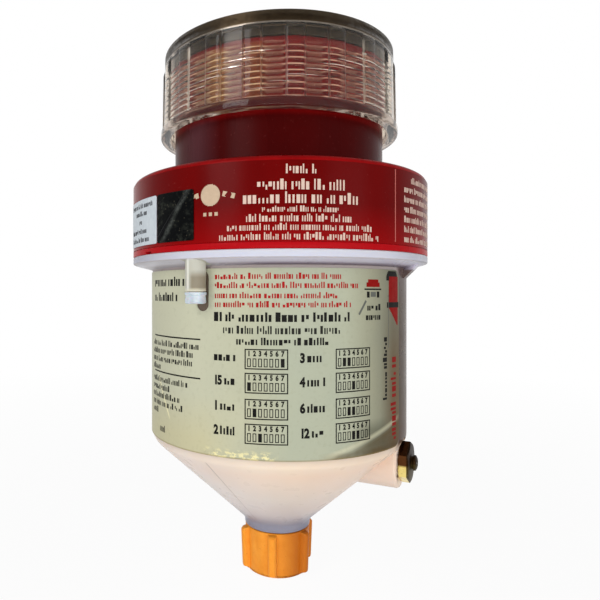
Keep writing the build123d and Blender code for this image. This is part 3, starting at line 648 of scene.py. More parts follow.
wrapping = Growth("wrapped_marks", "Radius")
given = {"data_type": "FLOAT_VECTOR"}
size, lean = [
    wrapping.node("GeometryNodeInputNamedAttribute", given, {"Name": name})
    for name in ("mark_size", "mark_lean")
]
spin = wrapping.node("FunctionNodeEulerToRotation", {}, {0: lean})
bar = wrapping.node("GeometryNodeMeshCube", {}, {})
bars = {"Points": wrapping.mesh, "Instance": bar, "Rotation": spin, "Scale": size}
flat = wrapping.node("GeometryNodeInstanceOnPoints", {}, bars)
flat = wrapping.node("GeometryNodeRealizeInstances", {}, {0: flat})
across, up, out = wrapping.parts(wrapping.spot)
swing = across / wrapping.sizes[0]
reach = out + wrapping.sizes[0]
curved = {0: swing.math("SINE") * reach, 1: 0 - swing.math("COSINE") * reach, 2: up}
place = {"Geometry": flat, "Position": wrapping.node("ShaderNodeCombineXYZ", {}, curved)}
wrapping.end(wrapping.node("GeometryNodeSetPosition", {}, place))


def print_marks(name, marks, material, slot, radius=LABEL_RADIUS):
    """Prints marks: (across, up, width, height) bars, or with a lean for a slanting one."""
    points, sizes, leans = [], [], []
    for across, up, width, height, *lean in marks:
        count = 1 if lean else max(1, math.ceil(width / LONGEST_BAR))
        for part in range(count):
            points.append((across + width / count * (part + 0.5), up + height / 2, INK_LIFT))
            sizes += [width / count, height, INK_THICKNESS]
            leans += [0, 0, *lean] if lean else [0, 0, 0]
    mesh = bpy.data.meshes.new(name)
    mesh.from_pydata(points, [], [])
    mesh.attributes.new("mark_size", "FLOAT_VECTOR", "POINT").data.foreach_set("vector", sizes)
    mesh.attributes.new("mark_lean", "FLOAT_VECTOR", "POINT").data.foreach_set("vector", leans)
    return put(name, wrapping.run(mesh, material, Radius=radius), material, "housing", slot)


def stroke(across, up, to_across, to_up, width):
    """A slanting mark between two points."""
    length = math.hypot(to_across - across, to_up - up)
    lean = math.atan2(to_up - up, to_across - across)
    return ((across + to_across - length) / 2, (up + to_up - width) / 2, length, width, lean)


def wording(across, up, width, height, seed, bold=0.16, letters=(2, 9)):
    """Marks in place of one line of wording: groups of upright dashes and small blocks."""
    pick = random.Random(seed)
    marks = []
    here = across
    end = across + width - height * 0.25
    while here < end:
        for letter in range(pick.randint(*letters)):
            if here > end:
                break
            wide = height * bold * pick.choice((1.1, 1.2, 1.4, 2.4))
            tall = height * pick.choice((1.0, 0.74, 0.74, 0.74, 0.45))
            foot = height * pick.choice((0, 0.29)) if tall < height * 0.6 else 0
            marks.append((here, up + foot, wide, tall))
            here += wide + height * pick.choice((0.12, 0.17, 0.2))
        here += height * 0.3
    return marks


def arc(degrees, radius=LABEL_RADIUS):
    """Distance along the film from the front, for an azimuth in degrees."""
    return math.radians(degrees) * radius


def lines(rows, seed, bold, radius=LABEL_RADIUS):
    """Marks for several lines, given as (start, end, low, high) in degrees and metres."""
    marks = []
    for index, (start, end, low, high) in enumerate(rows):
        marks += wording(arc(start, radius), low, arc(end - start, radius), high - low, seed + index, bold)
    return marks


red_rows = [
    (-28.4, 19.5, 0.08935, 0.09095),
    (-28.4, 26.5, 0.08705, 0.08865),
    (-28.4, 17.9, 0.08445, 0.08605),
    (-28.4, 23.8, 0.08215, 0.08375),
]
red_ink = inked("red_ink", 150, 26, 26)
print_marks("red_wording", lines(red_rows, 11, 0.17), red_ink, "red_label")

heading = lines([(-28.8, 23.8, 0.07850, 0.08090)], 31, 0.22)
heading += lines([(-19.8, 14.6, 0.07260, 0.07450)], 35, 0.20)
heading += lines([(-69.0, -37.5, 0.08775, 0.09035), (-69.0, -47.0, 0.08355, 0.08600)], 41, 0.22)
fine = lines([(-25.0, 19.5, 0.07540, 0.07745)], 33, 0.14)
for level in (0.07330, 0.06290):
    heading.append((arc(-69), level, arc(34), 0.0004))
left_lines = [-35.5, -38.5, -39.0, -60.0, -42.0, -52.0, -45.5, -45.0, -64.0]
for index, end in enumerate(left_lines):
    level = 0.0707 - 0.0023 * index - (0.0013 if index > 3 else 0)
    fine += wording(arc(-71), level, arc(end + 71), 0.0017, 60 + index, 0.18)
fine += wording(arc(-62), 0.0460, arc(6), 0.0019, 90, 0.17)

# The tables: four rows of two boxes, each with the numbers 1 to 7 over seven cells, some filled in.
TABLES = [(-16.6, -28.8, 15.8), (16.9, 3.5, 15.5)]
TABLE_ROWS = [0.06640, 0.06030, 0.05370, 0.04740]
TABLE_HEIGHT = 0.0052
CELLS = 7
FILLED = [[(7,), (1,), (2,), (3,)], [(2, 3), (4,), (3, 4), (4, 5)]]
CAPTIONS = [["", "15", "1", "2"], ["3", "4", "6", "12"]]
LINE = 0.00030


def frame_bars(left, low, width, height, line):
    """Four bars that frame a box."""
    return [
        (left, low, width, line),
        (left, low + height - line, width, line),
        (left, low, line, height),
        (left + width - line, low, line, height),
    ]


digits = []
for column, (start, caption, span) in enumerate(TABLES):
    left, width = arc(start), arc(span)
    pitch = width * 0.9 / CELLS
    for row, low in enumerate(TABLE_ROWS):
        heading += frame_bars(left, low, width, TABLE_HEIGHT, LINE)
        for cell in range(CELLS):
            edge = left + width * 0.06 + pitch * cell
            wide, tall, foot = pitch * 0.68, TABLE_HEIGHT * 0.42, low + TABLE_HEIGHT * 0.12
            if cell + 1 in FILLED[column][row]:
                heading.append((edge, foot, wide, tall))
            else:
                heading += frame_bars(edge, foot, wide, tall, LINE * 0.75)
            digits.append((str(cell + 1), edge + wide / 2, low + TABLE_HEIGHT * 0.66, 0.00135))
        number, foot = CAPTIONS[column][row], low + 0.0019
        for place, digit in enumerate(number):
            digits.append((digit, arc(caption) + 0.0006 + 0.0011 * place, foot, 0.0024))
        used = 0.0012 * len(number) + (0.0006 if number else 0)
        seed = 100 + row + CELLS * column
        heading += wording(arc(caption) + used, foot, arc(9.6) - used, 0.0022, seed, 0.2, (4, 5))
black_ink = inked("black_ink", 22, 21, 19)
print_marks("black_wording", heading, black_ink, "black_plastic")
print_marks("fine_wording", fine, inked("grey_ink", 36, 36, 32), "black_plastic")


def printed_digits(name, places, material, slot, radius=LABEL_RADIUS):
    """Digits from (character, across, up, height) places, wrapped on the film as one mesh."""
    build = bmesh.new()
    for character, across, up, height in places:
        curve = bpy.data.curves.new("digit", "FONT")
        curve.body = character
        curve.align_x = "CENTER"
        curve.size = height * 1.35
        curve.offset = height * 0.07
        curve.extrude = INK_THICKNESS / 2
        curve.resolution_u = 3
        shape = baked(linked("digit", curve))
        for corner in shape.vertices:
            angle = (across + corner.co.x * 0.82) / radius
            reach = radius + INK_LIFT + corner.co.z
            corner.co = (reach * math.sin(angle), -reach * math.cos(angle), up + corner.co.y)
        build.from_mesh(shape)
        bpy.data.meshes.remove(shape)
    mesh = bpy.data.meshes.new(name)
    build.to_mesh(mesh)
    build.free()
    return put(name, mesh, material, "housing", slot)


printed_digits("table_digits", digits, black_ink, "black_plastic")


# Level gauge and a small mark beside it, printed on the same film in red, black and grey: a red bar
# with a rounded black head and a black ring, its foot cut to a slope, over a thin rule.
GAUGE_LEFT = arc(43.9)
GAUGE_WIDTH = arc(7.6)
GAUGE_LOW = 0.0770
GAUGE_HIGH = 0.0918
GAUGE_STEPS = 40
GAUGE_SLOPE = 0.0046
GAUGE_CROWN = 0.0024
GAUGE_RING = (0.0817, 0.0831)
gauge_red, gauge_black, gauge_grey = [], [], []
for step in range(GAUGE_STEPS):
    level = GAUGE_LOW + (GAUGE_HIGH - GAUGE_LOW) * step / GAUGE_STEPS
    cut = max(0, GAUGE_SLOPE - (level - GAUGE_LOW))
    crown = max(0, level - GAUGE_HIGH + 0.0022)
    side = 0.0012 - GAUGE_CROWN + math.sqrt(max(0, GAUGE_CROWN**2 - crown**2))
    tall = (GAUGE_HIGH - GAUGE_LOW) / GAUGE_STEPS + 0.00001
    if GAUGE_RING[0] < level < GAUGE_RING[1]:
        gauge_black.append((GAUGE_LEFT - 0.0009, level, GAUGE_WIDTH + 0.0014, tall))
    elif level > GAUGE_HIGH - 0.0016:
        gauge_black.append((GAUGE_LEFT - side, level, GAUGE_WIDTH - 0.0016 + 2 * side, tall))
    elif level > GAUGE_HIGH - 0.0028:
        gauge_black.append((GAUGE_LEFT - 0.0012, level, 0.0014, tall))
        gauge_red.append((GAUGE_LEFT + 0.0002, level, GAUGE_WIDTH - 0.0002, tall))
    else:
        gauge_red.append((GAUGE_LEFT + cut, level, GAUGE_WIDTH - cut, tall))
gauge_grey += [(arc(43.6), 0.0709, 0.0002, 0.0145), (arc(43.2), 0.0848, 0.0004, 0.0004)]
gauge_grey += [(arc(32.8), 0.0848, arc(2.8), 0.0013), stroke(arc(30.4), 0.0838, arc(27.0), 0.0802, 0.0006)]
gauge_red += [(arc(30.6), 0.0874, arc(7.2), 0.0012), (arc(31.4), 0.0886, arc(5.6), 0.0008)]
gauge_black.append((arc(29.6), 0.0866, arc(9.2), 0.0004))
gauge_black += [(arc(start), 0.0846, arc(1.4), 0.0016) for start in (30.8, 36.2)]
gauge_black += wording(arc(31), 0.0812, arc(7), 0.0017, 201, 0.2)
gauge_black += wording(arc(30.3), 0.0787, arc(8), 0.0017, 202, 0.2)


def upright(across, low, high, width, seed, bold):
    """Wording that reads upwards: a line of marks turned a quarter turn."""
    row = wording(0, 0, high - low, width, seed, bold)
    return [(across - up - height, low + start, height, length) for start, up, length, height in row]


gauge_black += upright(arc(42.6), 0.0570, 0.0750, 0.0019, 211, 0.26)
gauge_red += upright(arc(49.8), 0.0455, 0.0686, 0.0031, 212, 0.2)
print_marks("gauge_red", gauge_red, inked("gauge_red_ink", 126, 12, 8), "red_label")
print_marks("gauge_black", gauge_black, black_ink, "black_plastic")
print_marks("gauge_grey", gauge_grey, inked("gauge_grey_ink", 92, 94, 88), "black_plastic")


# Vent cap: a soft cup moulded in milky plastic, pushed over the end of the vent tube. Its rim is
# rolled so that a finger can pull it off.
def clouded(name, noise, first, second, gloss, relief, share=(0.5, 0.5), grain=None, **fixed):
    """Finish that drifts between two colours, and between two degrees of gloss, with one noise."""
    made = Finish(name, **fixed)
    cloud = made.noise(*noise)
    tone = made.mix(cloud.above(*share), first, second)
    made.give(base_color=tone, roughness=cloud * gloss[0] + gloss[1])
    made.bump(made.noise(*grain) if grain else cloud, *relief)
    return made.material


vent_cup = moved(turned(outline(
    (0.00203, 0.0836),
    (0, 0.0836),
    (0, 0.0830),
    (0.0028, 0.0830, 0.0005),
    (0.00262, 0.0852),
    (0.00285, 0.0854, 0.0001),
    (0.00285, 0.08605, 0.0002),
    (0.00203, 0.08605),
), 72), at_vent())
soft = clouded("vent_cap_plastic", (500, 3), (170, 182, 192), (204, 212, 220), (0.2, 0.15),
               (0.0002, 0.4), (0.5, 0.6), subsurface=0.3, subsurface_scale=0.001, ior=1.5)
put("vent_cup", vent_cup, soft, "vent_cap", "clear_cap", "vent_cap")


# Outlet cap: injection-moulded in orange plastic and screwed over the spout, with six rounded ribs
# to grip. A node tree raises the ribs from a plain turned wall that is slightly wider at the top.
CAP_FLOOR = -0.0022
CAP_RIM = 0.0119

raising = Growth("raised_pads", "Count", "First", "Half", "Stand", "Low", "High", "Inner", "Crown")
count, first, half, stand, low, high, inner, crown = raising.sizes
z, radius, angle = raising.polar()
turns = ((angle - first) * count / math.tau + 0.5).math("FRACT") - 0.5
aside = abs(turns) * math.tau / count * radius / half
rise = abs(z * 2 - low - high) / (high - low)
side_shape = (1 - aside ** crown).math("MAXIMUM", 0.0) ** (1 / crown)
end_shape = (1 - rise ** 24).math("MAXIMUM", 0.0) ** 0.5
raising.swell(side_shape * end_shape * stand * radius.math("GREATER_THAN", inner) / radius)

outlet_wall = turned(outline(
    (0, CAP_FLOOR),
    (0.0097, CAP_FLOOR, 0.0011, 0.0005),
    (0.0103, CAP_RIM, 0.0004),
    (0.00715, CAP_RIM, 0.0003),
    (0.00715, -0.0003),
    (0, -0.0003),
), 540)
orange = Finish("orange_moulding", subsurface=0.1, subsurface_scale=0.001,
                subsurface_radius=(1, 0.5, 0.2), specular=0.12)
mottle = orange.noise(260, 4, 0.6)
flow = orange.noise(120, 3, 0.5, (1, 1, 0.25))
hue = orange.layered(
    orange.mix(mottle.above(0.5, 0.5), (230, 142, 40), (242, 160, 58)),
    # Painted shade: the cap darker on its right side.
    (orange.azimuth().within(8, 110, 44) * 0.85, (176, 94, 18)),
    (flow.above(0.56, 0.2) * 0.35, (184, 98, 26)),
    (orange.noise(1400, 3).above(0.72, 0.08) * 0.4, (120, 62, 20)),
)
orange.give(base_color=hue, roughness=mottle * 0.25 + 0.25)
orange.bump(mottle + orange.noise(1500, 2) * 0.3, 0.0003, 0.3)
rib_sizes = {"Count": 6, "First": math.radians(-13), "Half": 0.00128, "Stand": 0.00195, "Low": -0.0012,
             "High": 0.0116, "Inner": 0.0088, "Crown": 2.6}
outlet_cap = raising.run(outlet_wall, orange.material, **rib_sizes)
put("outlet_cap_moulding", outlet_cap, orange.material, "outlet_cap", "orange_moulding", "outlet_cap")


# Refill fitting: turned from brass, with a hexagon to drive it, a thin washer face against the boss
# and a low button head whose mouth is closed by a spring-loaded steel ball.
HEX_FLATS = 0.0104
HEX_LENGTH = 0.0030
angles = [math.tau * (step + 0.5) / 6 for step in range(6)]
corner = HEX_FLATS / 2 / math.cos(math.pi / 6)
hexagon = prism([(corner * math.sin(angle), corner * math.cos(angle)) for angle in angles], HEX_LENGTH)
middle = Matrix.Translation((0, 0, BOSS_REACH + HEX_LENGTH / 2))
hexagon.transform(middle @ Matrix.Rotation(math.pi / 2, 4, "Y"))
crown_outline = outline(
    (0, BOSS_REACH),
    (0.00525, BOSS_REACH),
    (0.0062, BOSS_REACH + 0.0005),
    (0.0062, BOSS_REACH + 0.0025),
    (0.0052, BOSS_REACH + 0.0030),
    (0, BOSS_REACH + 0.0030),
)
hexagon = combined(hexagon, "INTERSECT", turned(crown_outline, 96))
fitting = turned(outline(
    (0, 0.0344),
    (0.0051, 0.0344, 0.0003),
    (0.0051, BOSS_REACH + 0.0002),
    (0.0050, BOSS_REACH + 0.0029),
    (0.0019, BOSS_REACH + 0.0031, 0.0002),
    (0.0019, BOSS_REACH + 0.0035),
    (0.0022, BOSS_REACH + 0.0036, 0.0001),
    (0.0022, BOSS_REACH + 0.0042, 0.0003),
    (0.0014, BOSS_REACH + 0.0046, 0.0002),
    (0, BOSS_REACH + 0.0046),
), 96)
mouth = rod(0.034, BOSS_REACH + 0.0047, 0.0009, 48)
ball_seat = rod(0.0369, BOSS_REACH + 0.0038, 0.00128, 48)
fitting = combined(combined(fitting, "UNION", hexagon), "DIFFERENCE", mouth, ball_seat)
brass = Finish("turned_brass", metallic=1.0)
tarnish = brass.noise(300, 4, 0.6)
outward = brass.x * math.sin(FITTING_AZIMUTH) - brass.y * math.cos(FITTING_AZIMUTH)
end_face = outward.above(BOSS_REACH + 0.0024, 0.0002)
metal = brass.layered(
    brass.mix(tarnish.above(0.52, 0.3) * 0.5, (236, 214, 132), (206, 170, 86)),
    # Painted shade: the fitting darker above its axis.
    (brass.z.above(FITTING_HEIGHT, 0.0006), (84, 50, 26)),
    (end_face * 0.95, (34, 22, 10)),
    (brass.noise(1800, 2).above(0.68, 0.1) * 0.4, (120, 82, 40)),
)
brass.give(base_color=metal, roughness=tarnish * 0.2 + 0.14 + end_face * 0.3)
brass.bump(brass.noise(2400, 3), 0.00005, 0.4)
put("refill_fitting", moved(fitting, at_fitting()), brass.material, "housing", "brass", "grease_fitting")

steel = clouded("bright_steel", (900, 4, 0.6), (176, 178, 182), (214, 214, 214), (0.25, 0.15),
                (0.00003, 0.5), (0.5, 1), (3000, 2), metallic=1.0)


def dress(material, *names):
    """Gives CAD nodes that keep their shape a better material."""
    for name in names:
        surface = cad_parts[name].data
        surface.materials.clear()
        surface.materials.append(material)


dress(steel, "check_ball")

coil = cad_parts["check_spring"].data.copy()
spring = put("valve_spring", coil, steel, "housing", "steel", "check_spring")
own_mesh(spring)


# Head housing: one glossy red moulding. A lip meets the collar, a shallow recess takes the label,
# and the neck above it carries a helical thread for the clear cap and, inside, the board's ledge.
HEAD_RADIUS = 0.04598
RECESS_RADIUS = 0.0457
HEAD_TOP = 0.11945
NECK_OUTER = 0.0329
NECK_INNER = 0.0303
NECK_TOP = 0.1540
THREAD_PITCH = 0.00165
THREAD_LOW = 0.1370
THREAD_HIGH = 0.1525
PAD_COUNT = 20
PAD_FIRST = 2.9
PAD_STEP = 360 / PAD_COUNT

winding = Growth("wound_thread", "Pitch", "Low", "High", "Depth", "Root", "Phase")
pitch, low, high, depth, root, phase = winding.sizes
z, radius, angle = winding.polar()
climb = (z / pitch - angle / math.tau + phase).math("FRACT") - 0.5
ridge = (climb * math.pi * 1.5).math("COSINE").math("MAXIMUM", 0.0) ** 0.8
fade = ((z - low) / pitch).math("MINIMUM", (high - z) / pitch)
fade = fade.math("MINIMUM", 1.0).math("MAXIMUM", 0.0)
on_root = abs(radius - root).math("LESS_THAN", 0.00002)
winding.swell(ridge * fade * depth * on_root / radius)


def off_pad(finish):
    """Degrees round Z from the middle of the nearest grip pad of the clear cap."""
    turns = ((finish.azimuth() - PAD_FIRST) / PAD_STEP + 0.5).math("FRACT") - 0.5
    return abs(turns) * PAD_STEP


housing = turned(outline(
    (0.0432, COLLAR_TOP),
    (HEAD_RADIUS, COLLAR_TOP, 0.0003),
    (HEAD_RADIUS, 0.0983, 0.0003),
    (RECESS_RADIUS, 0.0983),
    (RECESS_RADIUS, HEAD_TOP, 0.0014),
    (NECK_OUTER, HEAD_TOP, 0.0008),
    (NECK_OUTER, 0.1365, 0, 0.0002),
    (NECK_OUTER, NECK_TOP, 0.0005),
    (NECK_INNER, NECK_TOP, 0.0004),
    (NECK_INNER, 0.13555),
    (0.0263, 0.13555),
    (0.0263, 0.13315),
    (NECK_INNER, 0.12915),
    (NECK_INNER, 0.11685),
    (0.0423, 0.11685),
    (0.0423, 0.0990),
    (0.0432, 0.0990),
), 240)
red = Finish("red_moulding", specular=0.03)
streak = red.noise(150, 3, 0.5, (1, 1, 0.15))
scuff = red.noise(1100, 4, 0.7)
facing = red.azimuth()
threaded = red.z.within(0.1372, 0.1523, 0.0006)
# Painted highlights on the thread: pale lines along the crests, brighter and wavier in columns behind the
# cap's grip pads, and yellowish painted glints on the left. Here lens marks those columns of painted light.
lens = off_pad(red).below(4.4, 3.0)
turns = ((red.z - lens * 0.00035) / THREAD_PITCH - facing / 360).math("FRACT")
crest_highlight = turns.within(0.24, 0.60, 0.16) * threaded
glint = facing.within(-46, -24, 8) * 0.9 + facing.within(-22, -7, 6) * 0.4
lit = red.mix(glint, (255, 232, 226), (255, 252, 226))
shade = red.layered(
    red.mix(streak.above(0.5, 0.5), (128, 6, 8), (150, 12, 14)),
    (red.z.within(0.0950, 0.0984, 0.0004), (166, 12, 20)),
    # Painted shade: the bare neck dark under the clear cap, and the threaded neck darker behind it.
    (red.z.within(0.1200, 0.1350, 0.004) * 0.9, (42, 1, 1)),
    (red.z.above(0.1360, 0.002) * 0.9, (112, 4, 4)),
    (crest_highlight * (lens * 0.60 + glint * 0.2 + 0.22), lit),
    (glint * lens * threaded * 0.3, (226, 200, 140)),
    (scuff.above(0.68, 0.12) * 0.12, (190, 100, 96)),
    # Painted sheen: a dull purple reflection on the left of the neck.
    (facing.within(-58, -40, 14) * red.z.within(0.1205, 0.1345, 0.002) * 0.3, (104, 70, 78)),
)
red.give(base_color=shade, roughness=streak * 0.16 + 0.2)
red.bump(red.noise(420, 3) * 0.4 + scuff * 0.08, 0.0002, 0.3)
thread = {"Pitch": THREAD_PITCH, "Low": THREAD_LOW, "High": THREAD_HIGH}
housing = winding.run(housing, red.material, **thread, Depth=0.0006, Root=NECK_OUTER, Phase=0)
notch = [(0.0448, 0.0960), (0.0470, 0.0960), (0.0470, 0.0973), (0.0448, 0.0973)]
notch = moved(prism(notch, 0.0034), turn(math.radians(-55.5)))
posts, holes = [], []
for index in range(3):
    around_post = turn(math.radians(30 + 120 * index)) @ Matrix.Translation((0, -0.0272, 0))
    posts.append(moved(rod(0.12915, 0.13555, 0.0026, 40), around_post))
    holes.append(moved(rod(0.12955, 0.1366, 0.00133, 32), around_post))
housing = combined(combined(housing, "UNION", *posts), "DIFFERENCE", notch, *holes)
put("head_moulding", housing, red.material, "housing", "red_moulding", "head_housing")


# Head label: glossy red film all round the head, with pale dashes for wording on its front, a fine
# rule and a second block of dashes to the right, and a plain pale disc mark to the left.
HEAD_LABEL = 0.04596
EMBLEM_RADIUS = 0.0027
EMBLEM_STEPS = 24
head_film = turned(outline(
    (HEAD_LABEL - FILM, 0.09836),
    (HEAD_LABEL, 0.09836),
    (HEAD_LABEL, 0.11799),
    (HEAD_LABEL - FILM, 0.11799),
), 240)
gloss = Finish("red_film", specular=0.04)
sweep = gloss.noise(90, 3, 0.5, (1, 1, 0.2))
crimson = gloss.layered(
    gloss.mix(sweep.above(0.5, 0.5), (90, 1, 1), (100, 1, 1)),
    # Painted light: the film lighter towards its bottom, a painted sheen on its left side and a dull
    # brownish painted reflection on its right.
    (gloss.z.below(0.1030, 0.010) * 0.7, (146, 3, 6)),
    (gloss.azimuth().within(-110, -62, 20) * 0.6, (140, 64, 62)),
    (gloss.azimuth().within(62, 110, 20) * 0.4, (96, 40, 34)),
    (gloss.noise(1500, 4, 0.7).above(0.70, 0.08) * 0.25, (180, 90, 84)),
)
gloss.give(base_color=crimson, roughness=sweep * 0.12 + 0.18)
gloss.bump(gloss.noise(70, 2) * 0.8 + gloss.noise(500, 2) * 0.05, 0.0004, 0.3)
put("head_label_film", head_film, gloss.material, "housing", "red_label", "head_label")

head_rows = [
    (-2.1, 7.6, 0.11470, 0.11700),
    (-10.8, 16.7, 0.11080, 0.11340),
    (-15.2, 21.3, 0.10750, 0.11030),
    (-9.3, 14.7, 0.10545, 0.10690),
    (-14.2, 19.8, 0.10310, 0.10495),
    (-20.3, 26.6, 0.10100, 0.10270),
    (-22.9, 29.0, 0.09870, 0.10050),
]
head_marks = lines(head_rows, 300, 0.13, HEAD_LABEL)
for index in range(7):
    start = 41.5 if index else 46.0
    across, wide = arc(start, HEAD_LABEL), arc(71 - start, HEAD_LABEL)
    head_marks += wording(across, 0.1149 - 0.00262 * index, wide, 0.00170, 320 + index, 0.18)


def emblem(across, up):
    """A plain pale disc between two short bars, with three small squares under it."""
    marks = []
    for step in range(EMBLEM_STEPS):
        level = EMBLEM_RADIUS * ((step + 0.5) / EMBLEM_STEPS * 2 - 1)
        half = math.sqrt(EMBLEM_RADIUS**2 - level**2)
        tall = EMBLEM_RADIUS / EMBLEM_STEPS * 2
        marks.append((across - half, up + level - tall / 2, 2 * half, tall))
    for side in (-1, 1):
        near, far = across + side * 0.0034, across + side * 0.0066
        marks.append(stroke(near, up + 0.0002, far, up - 0.0006, 0.0013))
    return marks + [(across - 0.0020 + 0.0016 * index, up - 0.0052, 0.0009, 0.0009) for index in range(3)]


cream_ink = inked("cream_ink", 196, 172, 158)
emblem_ink = inked("emblem_ink", 182, 160, 136)
rule = [(arc(36.4, HEAD_LABEL), 0.0990, 0.0003, 0.0187)]
print_marks("head_wording", head_marks, cream_ink, "white_sticker", HEAD_LABEL)
print_marks("head_emblem", emblem(arc(-26.0, HEAD_LABEL), 0.1102), emblem_ink, "white_sticker", HEAD_LABEL)
print_marks("head_rule", rule, inked("rule_ink", 176, 96, 88), "white_sticker", HEAD_LABEL)


# Two stickers on the head label: a glossy black foil seal, and beside it a small white paper one
# with rows of black dashes.
STICKER_RADIUS = 0.04622
STICKER_LOW = 0.0992
STICKER_HIGH = 0.1122
foil_sheet = film(STICKER_RADIUS, math.radians(-49), math.radians(-32), STICKER_LOW, STICKER_HIGH, 0.0006)
foil = Finish("black_foil", specular=0.03)
scratch = foil.noise(260, 5, 0.75, (1, 1, 1.4))
flakes = {"Vector": foil.place, "Scale": 900.0}
flake = foil.node("ShaderNodeTexVoronoi", {}, flakes)
fold_and_shade = abs(foil.azimuth() * 0.0008 - foil.z + 0.1390).below(0.0007, 0.0004)
glare = abs(foil.azimuth() * 0.0011 - foil.z + 0.1500).below(0.0010, 0.0016)
surface = foil.layered(
    foil.mix(scratch.above(0.58, 0.14), (4, 5, 6), (34, 36, 32)),
    (flake.below(0.16, 0.1) * 0.14, (140, 134, 112)),
    # Painted shade: a dark line in the fold, which the relief also raises.
    (fold_and_shade * 0.7, (12, 12, 14)),
    (glare * scratch.above(0.48, 0.2) * 0.5, (92, 96, 92)),
)
foil.give(base_color=surface, roughness=scratch * 0.35 + 0.2)
foil.bump(scratch * 0.8 + flake * 0.3 + fold_and_shade, 0.0003, 0.5)
put("black_seal", foil_sheet, foil.material, "housing", "black_sticker", "seal_sticker")

paper_sheet = film(STICKER_RADIUS, math.radians(-75), math.radians(-49.5), STICKER_LOW, STICKER_HIGH, 0.0006)
white = clouded("white_paper", (700, 4, 0.6), (182, 190, 198), (202, 210, 214), (0.2, 0.45), (0.0001, 0.5))
put("white_sticker_paper", paper_sheet, white, "housing", "white_sticker", "date_sticker")
rows = [(-73, -52, 0.1098), (-67, -56, 0.1076), (-63, -61, 0.1052), (-73, -56, 0.1026), (-73, -54, 0.1002)]
rows = [(start, end, level, level + 0.0014) for start, end, level in rows]
dashes = lines(rows, 400, 0.2, STICKER_RADIUS)
print_marks("sticker_wording", dashes, inked("sticker_ink", 40, 40, 44), "black_plastic", STICKER_RADIUS)


# Clear cap: moulded in clear plastic, screwed down on the neck. The same node trees raise its twenty
# grip pads and wind its inner thread. It has a bead round its rim and a thick roof over a dark gasket.
CLEAR_BOTTOM = 0.1341
CLEAR_TOP = 0.1600
CLEAR_BORE = 0.0344
clear_wall = turned(outline(
    (CLEAR_BORE, CLEAR_BOTTOM, 0.0003),
    (0.03744, CLEAR_BOTTOM, 0.0006),
    (0.03744, 0.1365, 0.0007),
    (0.0365, 0.1368, 0.0003, 0.0005),
    (0.0361, CLEAR_TOP, 0.0032),
    (0, CLEAR_TOP),
    (0, 0.1565),
    (CLEAR_BORE, 0.1565, 0.0005, 0.00024),
), 500)
clear = Finish("clear_plastic", transmission=1.0, ior=1.26)
smear = clear.noise(180, 4, 0.6)
aside, up, out = off_pad(clear), clear.z, clear.reach()
# Painted shade: the roof's rim is tinted dark brown and made partly metallic, for the dark inside and
# surroundings seen through it.
shaded_dome = up.above(0.1563, 0.0006) * out.above(0.0315, 0.003)
# Painted shade: a darker tone along the sides and tops of the grip pads, where their edges show. These bands
# are also rougher.
flank = aside.within(3.5, 4.2, 0.3) * up.within(0.1370, 0.1556, 0.0006)
brow = up.within(0.1547, 0.1557, 0.0003) * aside.below(4.1, 0.3)
pad_edge_shade = flank.math("MAXIMUM", brow) * out.above(0.0358, 0.0003)
glass = clear.layered(
    clear.mix(smear, (236, 224, 208), (220, 204, 186)),
    # Painted shade: the rim bead darker.
    (up.below(0.1367, 0.0004) * 0.75, (128, 108, 100)),
    (shaded_dome, (62, 50, 35)),
    (pad_edge_shade * 0.2, (150, 132, 112)),
)
haze = smear.above(0.62, 0.3) * 0.12 + 0.04 + shaded_dome * 0.3 + pad_edge_shade * 0.36
clear.give(base_color=glass, metallic=shaded_dome * 0.8, roughness=haze)
clear.bump(clear.noise(150, 2), 0.0002, 0.15)
pad_sizes = {"Count": PAD_COUNT, "First": math.radians(PAD_FIRST), "Half": 0.0025, "Stand": 0.00055,
             "Low": 0.1366, "High": 0.1556, "Inner": 0.0358, "Crown": 3}
clear_cap = raising.run(clear_wall, clear.material, **pad_sizes)
clear_cap = winding.run(clear_cap, clear.material, **thread, Depth=-0.0003, Root=CLEAR_BORE, Phase=0.5)
put("clear_cap", clear_cap, clear.material, "cap", "clear_cap", "top_cap")

gasket = turned(outline(
    (0.0298, NECK_TOP, 0.0003),
    (0.0332, NECK_TOP, 0.0003),
    (0.0332, 0.15645, 0.0003),
    (0.0298, 0.15645, 0.0003),
))
olive = clouded("gasket_rubber", (800, 3), (26, 20, 6), (42, 36, 16), (0.2, 0.45), (0.0002, 0.5))
put("cap_gasket_ring", gasket, olive, "cap_gasket", "rubber", "cap_seal")


# Piston and its rings: a red moulded cup that pushes the grease down, with two black rings that
# wipe the bore. Above it the natural-coloured bulkhead closes the reservoir with a third ring.
cup_red = clouded("piston_moulding", (200, 3, 0.5, (1, 1, 0.3)), (184, 30, 28), (204, 44, 38),
                  (0.2, 0.3), (0.0002, 0.4), grain=(600, 3))
dress(cup_red, "piston")
rubber = clouded("black_rubber", (700, 4, 0.6), (20, 20, 20), (52, 50, 46), (0.25, 0.5),
                 (0.0001, 0.5), (0.55, 0.4))
dress(rubber, "piston_ring_upper", "piston_ring_lower", "bulkhead_seal")
natural = clouded("natural_moulding", (120, 4, 0.6), (206, 202, 190), (226, 222, 210), (0.2, 0.35),
                  (0.0002, 0.4), grain=(500, 3), subsurface=0.2, subsurface_scale=0.003)
dress(natural, "bulkhead", "gas_cell")


